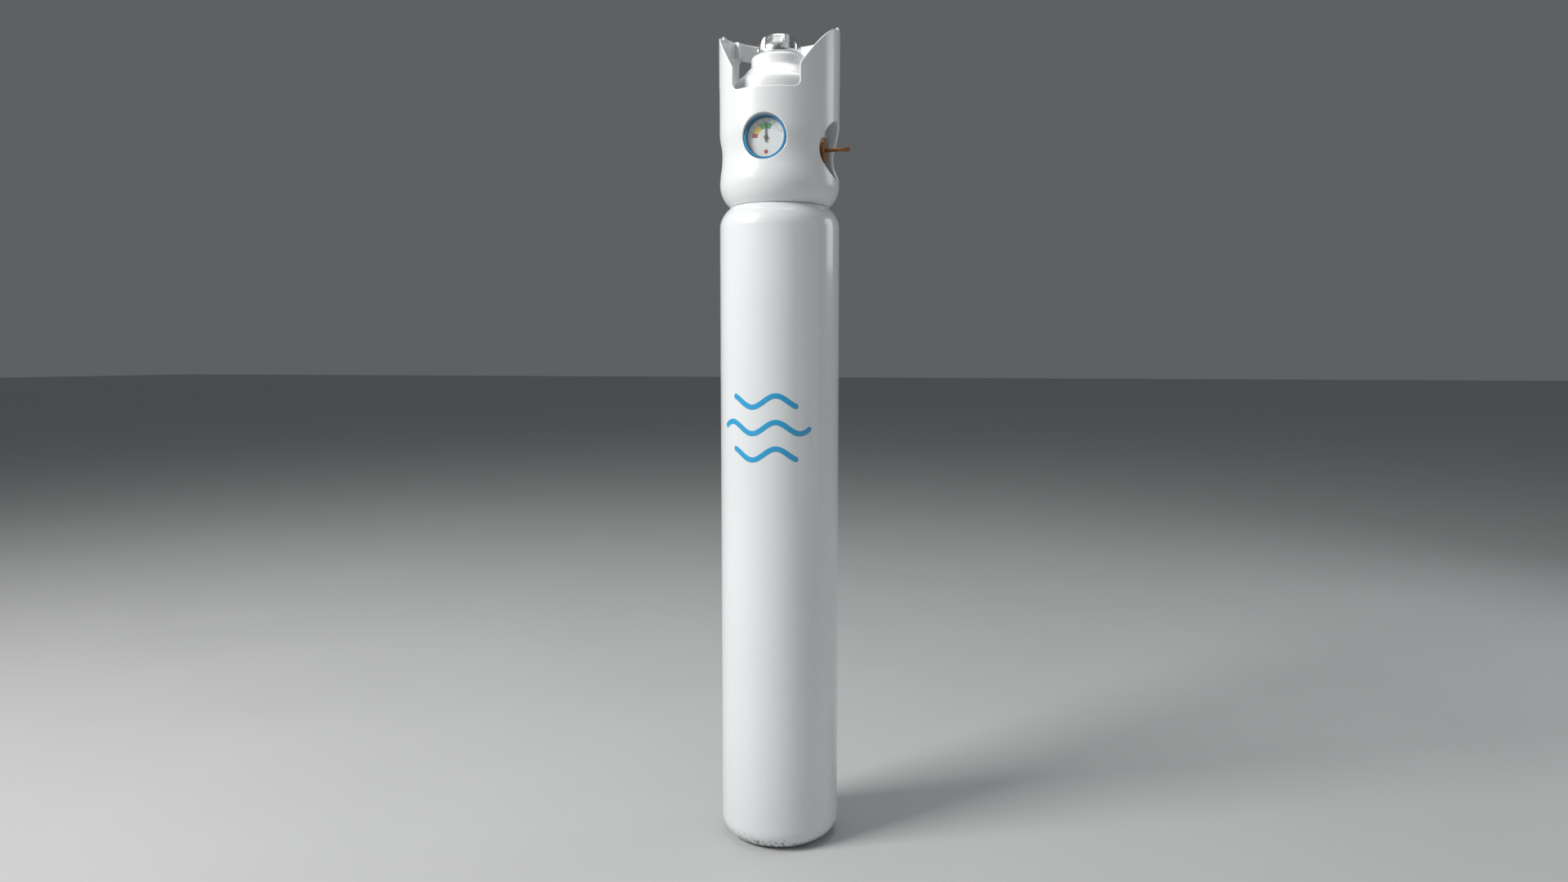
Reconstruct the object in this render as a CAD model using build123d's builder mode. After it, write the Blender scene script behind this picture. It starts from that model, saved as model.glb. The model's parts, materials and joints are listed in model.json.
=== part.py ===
from build123d import *
import os
from math import acos, cos, degrees, hypot, pi, radians, sin, sqrt

# An oxygen cylinder with an integral valve, a contents gauge and a carrying guard.
# Millimetres, +Z up, origin at the centre of the foot. The gauge faces -Y, the outlet faces +X,
# the filling port faces -X, and the hand grip of the guard is at the back, +Y.

os.makedirs("parts", exist_ok=True)

# Blocks and cylinders stand on the point where they are placed
on_floor = (Align.CENTER, Align.CENTER, Align.MIN)

# Fits, as radial gaps
running_gap = 0.05
loose_gap = 0.4

# Cylinder shell
shell_radius = 70.0
shell_wall = 3.8
foot_outer = 47.0
foot_land = 4.0
base_rise = 13.0
base_wall = 8.0
base_inner_round = 17.0
shoulder_start = 725.4
shoulder_rise = 41.5
shoulder_land = 56.6
shoulder_inner_round = 24.0
shoulder_inner_height = 744.0
neck_radius = 22.0
neck_top = 768.0
neck_inner_round = 6.0
taper_top_radius = 14.4
taper_slope = 0.06
taper_gap = 0.05

# Guard
guard_wall = 3.2
guard_bottom = 750.1
guard_bottom_radius = 57.6
guard_bulge = (69.5, 775.0)
guard_waist = (67.0, 805.0)
guard_chest = (69.65, 835.0)
guard_upper = (69.65, 880.0)
guard_top_radius = 70.0
guard_upper_end = 890.0
guard_top = 951.0
floor_bottom = 757.0
floor_top = 761.0
floor_hole = 26.0
floor_reach = 66.0
notch_bottom = 874.4
notch_half_width = 38.6
notch_corner = 7.0
notch_bend_height = 899.3
grip_half_angle = 62.0
grip_hole_bottom = 890.0
grip_hole_top = 932.0
grip_hole_corner = 8.0
grip_overlap = 6.0
grip_round = 3.0
grip_inner_radius = 61.0
grip_start = 24.0
outlet_window = (36.0, 33.0)
outlet_window_height = 812.0
filling_window_radius = 26.0
gauge_window_radius = 25.0
screw_circle = 34.0
guard_screw_count = 4
screw_radius = 2.5
screw_head_radius = 4.5
screw_head = 3.0
ring_radius = 41.0
ring_bottom = 750.1
guard_edge_round = 1.0
guard_screw_end = 752.5

# Valve block
port_height = 814.0
gauge_height = 820.4
relief_height = 800.0
block_bottom = 776.0
block_top = 872.0
block_radius = 19.0
stem_bottom = 744.0
tube_seat_depth = 8.0
riser_radius = 2.0
seat_bottom = 838.0
seat_top = 840.5
seat_radius = 5.0
chamber_radius = 9.0
chamber_top = 861.0
gland_radius = 11.0
passage_offset = 7.5
passage_radius = 1.2
tube_radius = 4.5
tube_bore = 3.0
tube_bottom = 690.0
filter_bottom = 678.0

# Bosses and threaded holes of the valve block, as (distance from the cylinder's axis, radius)
gauge_boss = (27.0, 10.0)
filling_boss = (34.0, 12.0)
relief_boss = (28.0, 9.5)
gauge_thread = (17.0, 5.0)
filling_thread = (24.0, 8.0)
relief_thread = (20.0, 6.0)
lip_radius = 2.3
lip_height = 1.0
nozzle_radius = 1.5
guide_end = 32.0
spring_room = 9.0

# Shut-off spindle and handwheel
tongue_half_width = 6.0
tongue_thickness = 2.2
slot_width = 2.6
stem_radius = 4.0
gland_hex = 30.0
gland_hex_top = 880.0
gland_tube_radius = 10.0
cover_seat = 914.0
gland_tip_radius = 8.0
gland_top = 921.0
square = 6.2
square_bottom = 923.3
square_top = 938.0
wheel_bottom = 923.5
wheel_top = 945.0
wheel_base_radius = 26.0
wheel_skirt_top = 927.0
wheel_top_radius = 17.5
wheel_lobes = 4
scallop_radius = 11.0
scallop_distance = 28.5
wheel_well = 7.0
lobe_round = 2.0
wheel_shoulder = (23.5, 935.0)
wheel_rim_drop = 2.5
square_gap = 0.2
wheel_screw_radius = 1.6
wheel_screw_depth = 10.0
wheel_screw_length = 9.0
wheel_screw_head = (4.0, 3.5)
wheel_socket = (1.8, 2.5)
wheel_washer_radius = 6.0
wheel_washer_height = 1.0

# Valve cover
cover_radius = 53.0
cover_wall = 2.5
cover_bottom = 761.2
cover_top = 922.0
cover_skirt_top = 883.0
cover_bell = ((52.0, 889.7), (44.0, 897.8), (37.0, 905.3))
cover_neck = (33.0, 917.0)
cover_rim_radius = 28.0
cover_inner_skirt_top = 881.0
cover_inner_bell = ((34.4, 903.2), (41.6, 895.4), (49.3, 887.5))
cover_inner_neck = 30.2
cover_filling_hole = 16.0
cover_relief_hole = 5.0
cover_nut_radius = 16.0
cover_nut_top = 921.5
cover_nut_bevel = 0.5
cover_nut_slot = (3.0, 4.0)
cover_recess = 20.0
cover_recess_floor = 918.0

# Gauge, as distances from the cylinder's axis towards the front
case_radius = 22.6
case_back = 36.0
case_front = 60.2
case_wall = 1.2
dial_front = 57.6
dial_thickness = 0.8
dial_radius = 21.2
lens_front = 62.0
bezel_back = 56.0
bezel_front = 62.8
bezel_radius = 24.4
bezel_opening = 21.9
socket_start = 17.1
socket_collar = 6.0
socket_flats = 15.0
socket_block = (10.0, 25.0)
socket_block_drop = 6.0
pillars = ((3.6, 5.0), (3.6, -9.0), (-8.0, 8.5))
pillar_radius = 1.2
plate_margin = 1.9
movement_screw_head = (1.5, 0.9)
movement_screw_depth = 2.5
pillar_screw = 0.7
pillar_screw_depth = 3.0
dial_hole = 2.4
dial_ledge = 0.8
pointer_back = 58.4
pointer_thickness = 0.5
needle = ((-0.9, -5.0), (0.9, -5.0), (0.35, 17.0), (-0.35, 17.0))
needle_hub = 2.2
hub_radius = 1.8
hub_back = 57.9
hub_length = 1.5
pinion_overhang = 0.4
shaft_end = 59.1
bourdon_wall = 0.4
bourdon_gap = 0.2
bourdon_radius = 16.5
bourdon_half_width = 3.3
bourdon_half_thickness = 1.1
bourdon_start = -70.0
bourdon_end = 164.0
block_face = 46.0
plate_thickness = 1.0
front_plate = 50.2
gear_back = 48.0
gear_front = 49.2
gear_module = 0.3
pinion_teeth = 10
sector_teeth_round = 80
sector_teeth = 9
sector_pivot_angle = 199.9
arbor_radius = 0.8
tail_length = 5.0
link_pin_radius = 0.6
link_top = (-16.25, 2.9)
link_half_width = 1.2
link_back = 46.7
link_thickness = 0.8
lug_width = 2.4
lug_height = 1.9
lug_drop = 0.35

# Regulator, as distances from the cylinder's axis towards the outlet
boss_end = 40.0
boss_radius = 13.5
lip_face = 23.0
piston_face = 23.65
piston_head = (42.0, 46.0)
piston_bore = 12.0
bonnet_end = 56.0
spigot_end = 83.0
spigot_radius = 2.2
spigot_tip_radius = 2.6
spigot_start = 51.0
spigot_root = 4.0
spigot_bore = 1.1
spigot_taper = (76.0, 79.0)
spigot_bevel = 0.4
bonnet_start = 31.0
bonnet_side = ((31.0, 15.5), (47.0, 15.5), (48.0, 12.5), (50.0, 12.5), (50.0, 14.0))
bonnet_flange = 14.0
bonnet_bevel = 0.6
bonnet_floor = 49.0
piston_nose = 3.2
piston_nose_end = 28.0
piston_bore_outline = ((26.5, 0), (26.5, 1.5), (46.0, 1.5), (46.0, 0))
piston_seat_outline = ((23.65, 0), (23.65, 2.6), (25.1, 2.6), (25.1, 0))
piston_hole_place = 27.0
piston_hole_radius = 0.5
stem_groove = (29.5, 30.5)
stem_groove_radius = 3.1
head_groove = (43.5, 44.6)
head_groove_radius = 10.9
# Sealing rings, as (distance along the outlet, radius of the ring, radius of its section)
stem_ring = (30.0, 3.55, 0.43)
head_ring = (44.05, 11.43, 0.5)
# Springs, as (start, end, mean radius, wire radius, turns)
regulator_spring_size = (32.9, 41.1, 6.2, 0.8, 4)
filling_spring_size = (24.7, 39.3, 4.2, 0.6, 6)
relief_spring_size = (28.6, 41.4, 2.9, 0.5, 7)

# Filling port, as (distance from the cylinder's axis, radius)
filling_body_outline = ((24, 0), (24, 8), (34, 8), (34, 9), (60, 9), (60, 0))
filling_bore_outline = (
    (24, 0),
    (24, 5.55),
    (46, 5.55),
    (48.5, 3),
    (50, 3),
    (50, 5),
    (60, 5),
    (60, 0),
)
filling_poppet_outline = ((40, 0), (40, 5.5), (45.8, 5.5), (48.1, 3.1), (48.1, 0))
filling_mouth = (60.0, 9.0)
# Hexagons, as (start, end, distance across the flats)
filling_hex = (34.0, 39.0, 22.0)
relief_hex = (28.0, 32.0, 14.0)
# Grooves along the poppets, as (start, end, distance from their axis, radius)
filling_flutes = (40.0, 46.2, 5.5, 1.2)
relief_flutes = (24.0, 28.0, 4.0, 0.9)
cap_start = 46.0
cap_end = 62.0
cap_radius = 11.0
cap_bevel = 1.0

# Relief valve, as (distance from the cylinder's axis, radius)
relief_body_outline = ((20, 0), (20, 6), (28, 6), (28, 6.5), (46, 6.5), (46, 0))
relief_bore_outline = ((20, 0), (20, 1.5), (24, 1.5), (24, 4.05), (46, 4.05), (46, 0))
relief_plug_outline = ((42, 1.5), (42, 4.05), (46.5, 4.05), (46.5, 1.5))
relief_plug_slot = (9.0, 2.0, 1.0)
relief_poppet_outline = (
    (24.05, 0),
    (24.05, 2.2),
    (25.5, 4),
    (28, 4),
    (28, 1.4),
    (34, 1.4),
    (34, 0),
)


def port_plane(direction, height):
    """The plane of a port's outline: local x runs out along the port, local y is its radius."""
    outward = Vector(*direction)
    return Plane(origin=(0, 0, height), x_dir=outward, z_dir=outward.cross(Vector(0, 0, 1)))


def turn(points, plane=None, mode=Mode.ADD):
    """Revolves a closed outline into the open part: (radius, height) pairs about the cylinder's
    axis, or (distance, radius) pairs about the axis of a port's plane."""
    with BuildSketch(plane or Plane.XZ) as outline:
        with BuildLine():
            Polyline(*points, close=True)
        make_face()
    axis = Axis(plane.origin, plane.x_dir) if plane else Axis.Z
    revolve(outline.sketch, axis=axis, mode=mode)


def radial_plane(angle):
    """The upright half-plane at an angle from +X: local x is the radius, local y the height."""
    outward = Vector(cos(radians(angle)), sin(radians(angle)), 0)
    return Plane(origin=(0, 0, 0), x_dir=outward, z_dir=outward.cross(Vector(0, 0, 1)))


def hexagon(plane, start, end, across_flats):
    """Adds a hexagonal collar round a port's axis, or round +Z for Plane.XY."""
    with BuildSketch(plane.offset(start)) as flats:
        RegularPolygon(across_flats / 2, 6, major_radius=False)
    extrude(flats.sketch, amount=end - start)


def face_plane(port):
    """The plane across a port's axis, with its normal along the port and local y upwards."""
    return Plane(origin=port.origin, x_dir=port.z_dir.reverse(), z_dir=port.x_dir)


def flutes(plane, start, end, distance, radius):
    """Cuts three grooves along a sliding piece, which let the gas past it."""
    with BuildSketch(plane.offset(start)) as grooves:
        with PolarLocations(distance, 3):
            Circle(radius)
    extrude(grooves.sketch, amount=end - start, mode=Mode.SUBTRACT)


def wind(port, start, end, mean_radius, wire_radius, turns):
    """Sweeps the wire of a compression spring round a port's axis."""
    height = end - start
    with BuildLine() as path:
        Helix(
            height / turns,
            height,
            mean_radius,
            center=port.origin + port.x_dir * start,
            direction=port.x_dir,
        )
    with BuildSketch(Plane(origin=path.line @ 0, z_dir=path.line % 0)) as wire:
        Circle(wire_radius)
    sweep(wire.sketch, path=path.line)


def save(piece, name):
    """Labels a finished piece and writes its file."""
    piece.part.label = name
    export_step(piece.part, f"parts/{name}.step")


front = port_plane((0, -1, 0), gauge_height)
outlet = port_plane((1, 0, 0), port_height)
filling = port_plane((-1, 0, 0), port_height)
relief = port_plane((0, 1, 0), relief_height)
# The gauge as its reader sees it: local x to the right, local y up, normal towards the reader
dial = Plane(origin=(0, 0, gauge_height), x_dir=(1, 0, 0), z_dir=(0, -1, 0))


# --- Cylinder shell: one seamless steel bottle with a concave base

inner_radius = shell_radius - shell_wall
foot_inner = foot_outer - foot_land
base_round = shell_radius - foot_outer
dome_radius = (foot_inner**2 + base_rise**2) / (2 * base_rise)
dome_centre = base_rise - dome_radius
inner_dome_radius = dome_radius + base_wall
round_centre_radius = inner_radius - base_inner_round
round_reach = inner_dome_radius + base_inner_round
round_centre = dome_centre + sqrt(round_reach**2 - round_centre_radius**2)
touch_share = inner_dome_radius / round_reach
touch = (
    round_centre_radius * touch_share,
    dome_centre + (round_centre - dome_centre) * touch_share,
)
bore_top = taper_top_radius + taper_gap
bore_bottom_height = shoulder_inner_height + neck_inner_round
bore_bottom = bore_top - taper_slope * (neck_top - bore_bottom_height)

with BuildPart() as shell:
    with BuildSketch(Plane.XZ):
        with BuildLine():
            Line((foot_inner, 0), (foot_outer, 0))
            TangentArc((foot_outer, 0), (shell_radius, base_round), tangent=(1, 0))
            Line((shell_radius, base_round), (shell_radius, shoulder_start))
            shoulder = EllipticalCenterArc(
                (0, shoulder_start),
                shell_radius,
                shoulder_rise,
                arc_size=degrees(acos(shoulder_land / shell_radius)),
            )
            Polyline(
                shoulder @ 1,
                (neck_radius, (shoulder @ 1).Y),
                (neck_radius, neck_top),
                (bore_top, neck_top),
                (bore_bottom, bore_bottom_height),
            )
            TangentArc(
                (bore_bottom, bore_bottom_height),
                (bore_bottom + neck_inner_round, shoulder_inner_height),
                tangent=(0, -1),
            )
            inner_flat = inner_radius - shoulder_inner_round
            inner_side_top = shoulder_inner_height - shoulder_inner_round
            Line(
                (bore_bottom + neck_inner_round, shoulder_inner_height),
                (inner_flat, shoulder_inner_height),
            )
            TangentArc(
                (inner_flat, shoulder_inner_height), (inner_radius, inner_side_top), tangent=(1, 0)
            )
            Line((inner_radius, inner_side_top), (inner_radius, round_centre))
            TangentArc((inner_radius, round_centre), touch, tangent=(0, -1))
            TangentArc((0, base_rise + base_wall), touch, tangent=(1, 0))
            Line((0, base_rise + base_wall), (0, base_rise))
            TangentArc((0, base_rise), (foot_inner, 0), tangent=(1, 0))
        make_face()
    revolve(axis=Axis.Z)
save(shell, "shell")

# --- Neck ring: pressed on the neck, it carries the guard

with BuildPart() as neck_ring:
    turn(
        [
            (neck_radius, ring_bottom),
            (ring_radius, ring_bottom),
            (ring_radius, floor_bottom),
            (neck_radius, floor_bottom),
        ]
    )
    with PolarLocations(screw_circle, guard_screw_count, start_angle=45):
        with Locations((0, 0, guard_screw_end)):
            Cylinder(
                screw_radius,
                floor_bottom - guard_screw_end,
                align=on_floor,
                mode=Mode.SUBTRACT,
            )
save(neck_ring, "neck_ring")

# --- Guard: a white shroud with a grip, a notch over the gauge and a window at each port


def guard_side(inset):
    """Draws the guard's side from bottom to top, moved inwards by the inset."""
    stations = [guard_bulge, guard_waist, guard_chest]
    path = [(r - inset, z) for r, z in stations]
    TangentArc(
        (guard_bottom_radius - inset, guard_bottom),
        path[0],
        tangent=(0, -1),
        tangent_from_first=False,
    )
    for low, high in zip(path, path[1:]):
        middle = ((low[0] + high[0]) / 2, (low[1] + high[1]) / 2)
        TangentArc(low, middle, tangent=(0, 1))
        TangentArc(middle, high, tangent=(0, -1), tangent_from_first=False)
    Polyline(
        path[-1],
        (guard_upper[0] - inset, guard_upper[1]),
        (guard_top_radius - inset, guard_upper_end),
        (guard_top_radius - inset, guard_top),
    )


def is_window_edge(edge):
    """Tells whether an edge of the guard runs round the gauge, outlet or filling window."""
    middle = edge.center()
    box = edge.bounding_box()
    in_wall = hypot(middle.X, middle.Y) > cover_radius and box.max.Z - box.min.Z > guard_edge_round
    return in_wall and guard_bulge[1] + 10 < middle.Z < guard_chest[1] + 15


def is_rim_edge(edge, inset):
    """Tells whether an edge of the guard's notch, top or hand hole runs along the wall's outer
    face, moved inwards by the inset. The level seams inside the wall's faces don't count."""
    height = edge.center().Z
    span = edge.bounding_box().max.Z - edge.bounding_box().min.Z
    seam = span < running_gap and any(
        abs(height - level) < running_gap for level in (guard_upper[1], guard_upper_end)
    )
    places = [edge.position_at(share) for share in (0.05, 0.3, 0.5, 0.7, 0.95)]
    reach = [hypot(place.X, place.Y) + inset for place in places]
    on_wall = min(reach) > guard_upper[0] - loose_gap and max(reach) < guard_top_radius + running_gap
    return on_wall and not seam and height > notch_bottom - running_gap


def is_hole_corner(edge):
    """Tells whether a straight edge crosses the wall level at a corner of the hand hole."""
    height = edge.center().Z
    level = abs(edge.tangent_at(0.5).Z) < running_gap
    return level and min(abs(height - grip_hole_bottom), abs(height - grip_hole_top)) < running_gap


with BuildPart() as guard:
    with BuildSketch(Plane.XZ):
        with BuildLine():
            guard_side(0)
            guard_side(guard_wall)
            Line(
                (guard_bottom_radius, guard_bottom), (guard_bottom_radius - guard_wall, guard_bottom)
            )
            Line((guard_top_radius, guard_top), (guard_top_radius - guard_wall, guard_top))
        make_face()
    revolve(axis=Axis.Z)
    turn(
        [
            (floor_hole, floor_bottom),
            (floor_reach - guard_wall, floor_bottom),
            (floor_reach - guard_wall + 1, floor_top),
            (floor_hole, floor_top),
        ]
    )
    # The hand hole below the grip
    with BuildSketch(radial_plane(90 - grip_half_angle)) as hole_section:
        with Locations((guard_top_radius, (grip_hole_bottom + grip_hole_top) / 2)):
            Rectangle(4 * guard_wall, grip_hole_top - grip_hole_bottom)
    revolve(
        hole_section.sketch,
        axis=Axis.Z,
        revolution_arc=2 * grip_half_angle,
        mode=Mode.SUBTRACT,
    )
    fillet(
        guard.edges()
        .filter_by(GeomType.LINE)
        .filter_by(lambda edge: edge.center().Y > 0 and is_hole_corner(edge)),
        radius=grip_hole_corner,
    )
    # The grip is thicker than the wall
    with BuildSketch(radial_plane(90 - grip_half_angle - grip_overlap)) as grip_section:
        with BuildLine():
            grip_back = guard_top_radius - guard_wall / 2
            FilletPolyline(
                (grip_back, grip_hole_top),
                (grip_inner_radius, grip_hole_top),
                (grip_inner_radius, guard_top),
                (grip_back, guard_top),
                radius=grip_round,
            )
            Line((grip_back, guard_top), (grip_back, grip_hole_top))
        make_face()
    revolve(
        grip_section.sketch,
        axis=Axis.Z,
        revolution_arc=2 * (grip_half_angle + grip_overlap),
    )
    # The notch in the top edge, over the gauge
    slope_top = (guard_top_radius + 1, guard_top + 1)
    with BuildSketch(Plane.XZ) as notch:
        with BuildLine() as right_side:
            FilletPolyline(
                (0, notch_bottom),
                (notch_half_width, notch_bottom),
                (notch_half_width, notch_bend_height),
                slope_top,
                radius=notch_corner,
            )
            Polyline(slope_top, (0, slope_top[1]), (0, notch_bottom))
        make_face()
        mirror(about=Plane.YZ)
    extrude(notch.sketch, amount=2 * shell_radius, mode=Mode.SUBTRACT)
    # The windows for the gauge, the outlet and the filling port
    with BuildSketch(dial) as gauge_hole:
        Circle(gauge_window_radius)
    extrude(gauge_hole.sketch, amount=shell_radius + 1, mode=Mode.SUBTRACT)
    with BuildSketch(Plane.YZ.offset(grip_inner_radius / 2)) as outlet_hole:
        with Locations((0, outlet_window_height)):
            Ellipse(*outlet_window)
    extrude(outlet_hole.sketch, amount=shell_radius, mode=Mode.SUBTRACT)
    with BuildSketch(Plane.YZ.offset(-grip_inner_radius / 2)) as filling_hole:
        with Locations((0, port_height)):
            Circle(filling_window_radius)
    extrude(filling_hole.sketch, amount=-shell_radius, mode=Mode.SUBTRACT)
    fillet(guard.edges().filter_by(is_window_edge), radius=guard_edge_round)
    fillet(guard.edges().filter_by(lambda edge: is_rim_edge(edge, 0)), radius=guard_edge_round)
    fillet(
        guard.edges().filter_by(
            lambda edge: is_rim_edge(edge, guard_wall) and edge.center().Y < grip_start
        ),
        radius=guard_edge_round,
    )
    with PolarLocations(screw_circle, guard_screw_count, start_angle=45):
        with Locations((0, 0, floor_bottom)):
            Cylinder(
                screw_radius,
                floor_top - floor_bottom,
                align=on_floor,
                mode=Mode.SUBTRACT,
            )
save(guard, "guard")

with BuildPart() as guard_screws:
    with PolarLocations(screw_circle, guard_screw_count, start_angle=45):
        with Locations((0, 0, guard_screw_end)):
            Cylinder(
                screw_radius,
                floor_top - guard_screw_end,
                align=on_floor,
            )
        with Locations((0, 0, floor_top)):
            Cylinder(
                screw_head_radius, screw_head, align=on_floor
            )
    with BuildSketch(Plane.XY.offset(floor_top + screw_head)) as sockets:
        with PolarLocations(screw_circle, guard_screw_count, start_angle=45):
            RegularPolygon(2, 6)
    extrude(sockets.sketch, amount=-screw_head / 2, mode=Mode.SUBTRACT)
save(guard_screws, "guard_screws")

# --- Valve block: brass, screwed into the neck, with a passage to each port

with BuildPart() as valve_block:
    turn(
        [
            (0, stem_bottom),
            (taper_top_radius - taper_slope * (neck_top - stem_bottom), stem_bottom),
            (taper_top_radius, neck_top),
            (block_radius, neck_top),
            (block_radius, block_top),
            (0, block_top),
        ]
    )
    hexagon(Plane.XY, neck_top, block_bottom, 2 * neck_radius)
    for port, (end, radius) in (
        (front, gauge_boss),
        (outlet, (boss_end, boss_radius)),
        (filling, filling_boss),
        (relief, relief_boss),
    ):
        turn([(0, 0), (0, radius), (end, radius), (end, 0)], port)
    turn(
        [
            (0, stem_bottom),
            (tube_radius, stem_bottom),
            (tube_radius, stem_bottom + tube_seat_depth),
            (riser_radius, stem_bottom + tube_seat_depth),
            (riser_radius, seat_bottom),
            (seat_radius, seat_bottom),
            (seat_radius, seat_top),
            (chamber_radius, seat_top),
            (chamber_radius, chamber_top),
            (gland_radius, chamber_top),
            (gland_radius, block_top),
            (0, block_top),
        ],
        mode=Mode.SUBTRACT,
    )
    turn(
        [
            (passage_offset, 0),
            (passage_offset, nozzle_radius),
            (lip_face, nozzle_radius),
            (lip_face, lip_radius),
            (lip_face - lip_height, lip_radius),
            (lip_face - lip_height, stem_radius + running_gap),
            (guide_end, stem_radius + running_gap),
            (guide_end, spring_room),
            (boss_end, spring_room),
            (boss_end, 0),
        ],
        outlet,
        Mode.SUBTRACT,
    )
    for port, start, (bottom, radius), (end, _) in (
        (front, 0, gauge_thread, gauge_boss),
        (filling, passage_offset, filling_thread, filling_boss),
        (relief, passage_offset, relief_thread, relief_boss),
    ):
        turn(
            [
                (start, 0),
                (start, passage_radius),
                (bottom, passage_radius),
                (bottom, radius),
                (end, radius),
                (end, 0),
            ],
            port,
            Mode.SUBTRACT,
        )
    for x, y, bottom in (
        (passage_offset, 0, port_height),
        (-passage_offset, 0, port_height),
        (0, passage_offset, relief_height),
    ):
        with Locations((x, y, bottom)):
            Cylinder(
                passage_radius,
                seat_top + 1 - bottom,
                align=on_floor,
                mode=Mode.SUBTRACT,
            )
save(valve_block, "valve_block")

with BuildPart() as dip_tube:
    turn(
        [
            (tube_bore, tube_bottom),
            (tube_radius, tube_bottom),
            (tube_radius, stem_bottom + tube_seat_depth),
            (tube_bore, stem_bottom + tube_seat_depth),
        ]
    )
save(dip_tube, "dip_tube")

with BuildPart() as inlet_filter:
    turn(
        [
            (0, filter_bottom),
            (tube_radius, filter_bottom),
            (tube_radius, tube_bottom),
            (tube_bore, tube_bottom),
            (tube_bore, tube_bottom + 10),
            (0, tube_bottom + 10),
        ]
    )
    fillet(inlet_filter.edges().group_by(Axis.Z)[0], radius=2)
save(inlet_filter, "inlet_filter")

# --- Shut-off valve: seat, two spindles joined by a tongue, gland and handwheel

with BuildPart() as valve_seat:
    turn(
        [
            (nozzle_radius, seat_bottom),
            (seat_radius, seat_bottom),
            (seat_radius, seat_top),
            (nozzle_radius, seat_top),
        ]
    )
save(valve_seat, "valve_seat")

nose_bottom = seat_top + running_gap
nose_radius = 2.5
thread_bottom = 846.0
thread_top = 854.0
slot_bottom = 848.5
tongue_bottom = 851.2
collar_bottom = 857.0
collar_top = 860.0
collar_radius = 8.7

with BuildPart() as lower_spindle:
    turn(
        [
            (0, nose_bottom),
            (nose_radius, nose_bottom),
            (stem_radius, nose_bottom + stem_radius - nose_radius),
            (stem_radius, thread_bottom),
            (chamber_radius - running_gap, thread_bottom),
            (chamber_radius - running_gap, thread_top),
            (0, thread_top),
        ]
    )
    with Locations((0, 0, slot_bottom)):
        Box(
            2 * tongue_half_width + 1,
            slot_width,
            thread_top - slot_bottom,
            align=on_floor,
            mode=Mode.SUBTRACT,
        )
save(lower_spindle, "lower_spindle")

with BuildPart() as upper_spindle:
    turn(
        [
            (0, collar_bottom),
            (collar_radius, collar_bottom),
            (collar_radius, collar_top),
            (stem_radius, collar_top),
            (stem_radius, square_bottom),
            (0, square_bottom),
        ]
    )
    with Locations((0, 0, tongue_bottom)):
        Box(
            2 * tongue_half_width,
            tongue_thickness,
            collar_bottom - tongue_bottom,
            align=on_floor,
        )
    with Locations((0, 0, square_bottom)):
        Box(
            square,
            square,
            square_top - square_bottom,
            align=on_floor,
        )
    with Locations((0, 0, square_top - wheel_screw_depth)):
        Cylinder(wheel_screw_radius, wheel_screw_depth, align=on_floor, mode=Mode.SUBTRACT)
save(upper_spindle, "upper_spindle")

with BuildPart() as spindle_washer:
    washer_hole = stem_radius + 2 * running_gap
    turn(
        [
            (washer_hole, collar_top + running_gap),
            (collar_radius, collar_top + running_gap),
            (collar_radius, chamber_top),
            (washer_hole, chamber_top),
        ]
    )
save(spindle_washer, "spindle_washer")

ring_wire = 0.95
ring_heights = (866.0, 870.0)
groove_depth = 2.0

with BuildPart() as gland_nut:
    turn(
        [
            (stem_radius + running_gap, chamber_top),
            (gland_radius, chamber_top),
            (gland_radius, block_top),
            (gland_tube_radius, block_top),
            (gland_tube_radius, cover_seat),
            (gland_tip_radius, cover_seat),
            (gland_tip_radius, gland_top),
            (stem_radius + running_gap, gland_top),
        ]
    )
    with BuildSketch(Plane.XY.offset(block_top)) as gland_flats:
        RegularPolygon(gland_hex / 2, 6, major_radius=False)
        Circle(gland_tube_radius, mode=Mode.SUBTRACT)
    extrude(gland_flats.sketch, amount=gland_hex_top - block_top)
    for height in ring_heights:
        turn(
            [
                (stem_radius, height - ring_wire),
                (stem_radius + groove_depth, height - ring_wire),
                (stem_radius + groove_depth, height + ring_wire),
                (stem_radius, height + ring_wire),
            ],
            mode=Mode.SUBTRACT,
        )
save(gland_nut, "gland_nut")

with BuildPart() as spindle_rings:
    for height in ring_heights:
        with Locations((0, 0, height)):
            Torus(stem_radius + running_gap + ring_wire, ring_wire - running_gap / 2)
save(spindle_rings, "spindle_rings")

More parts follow.
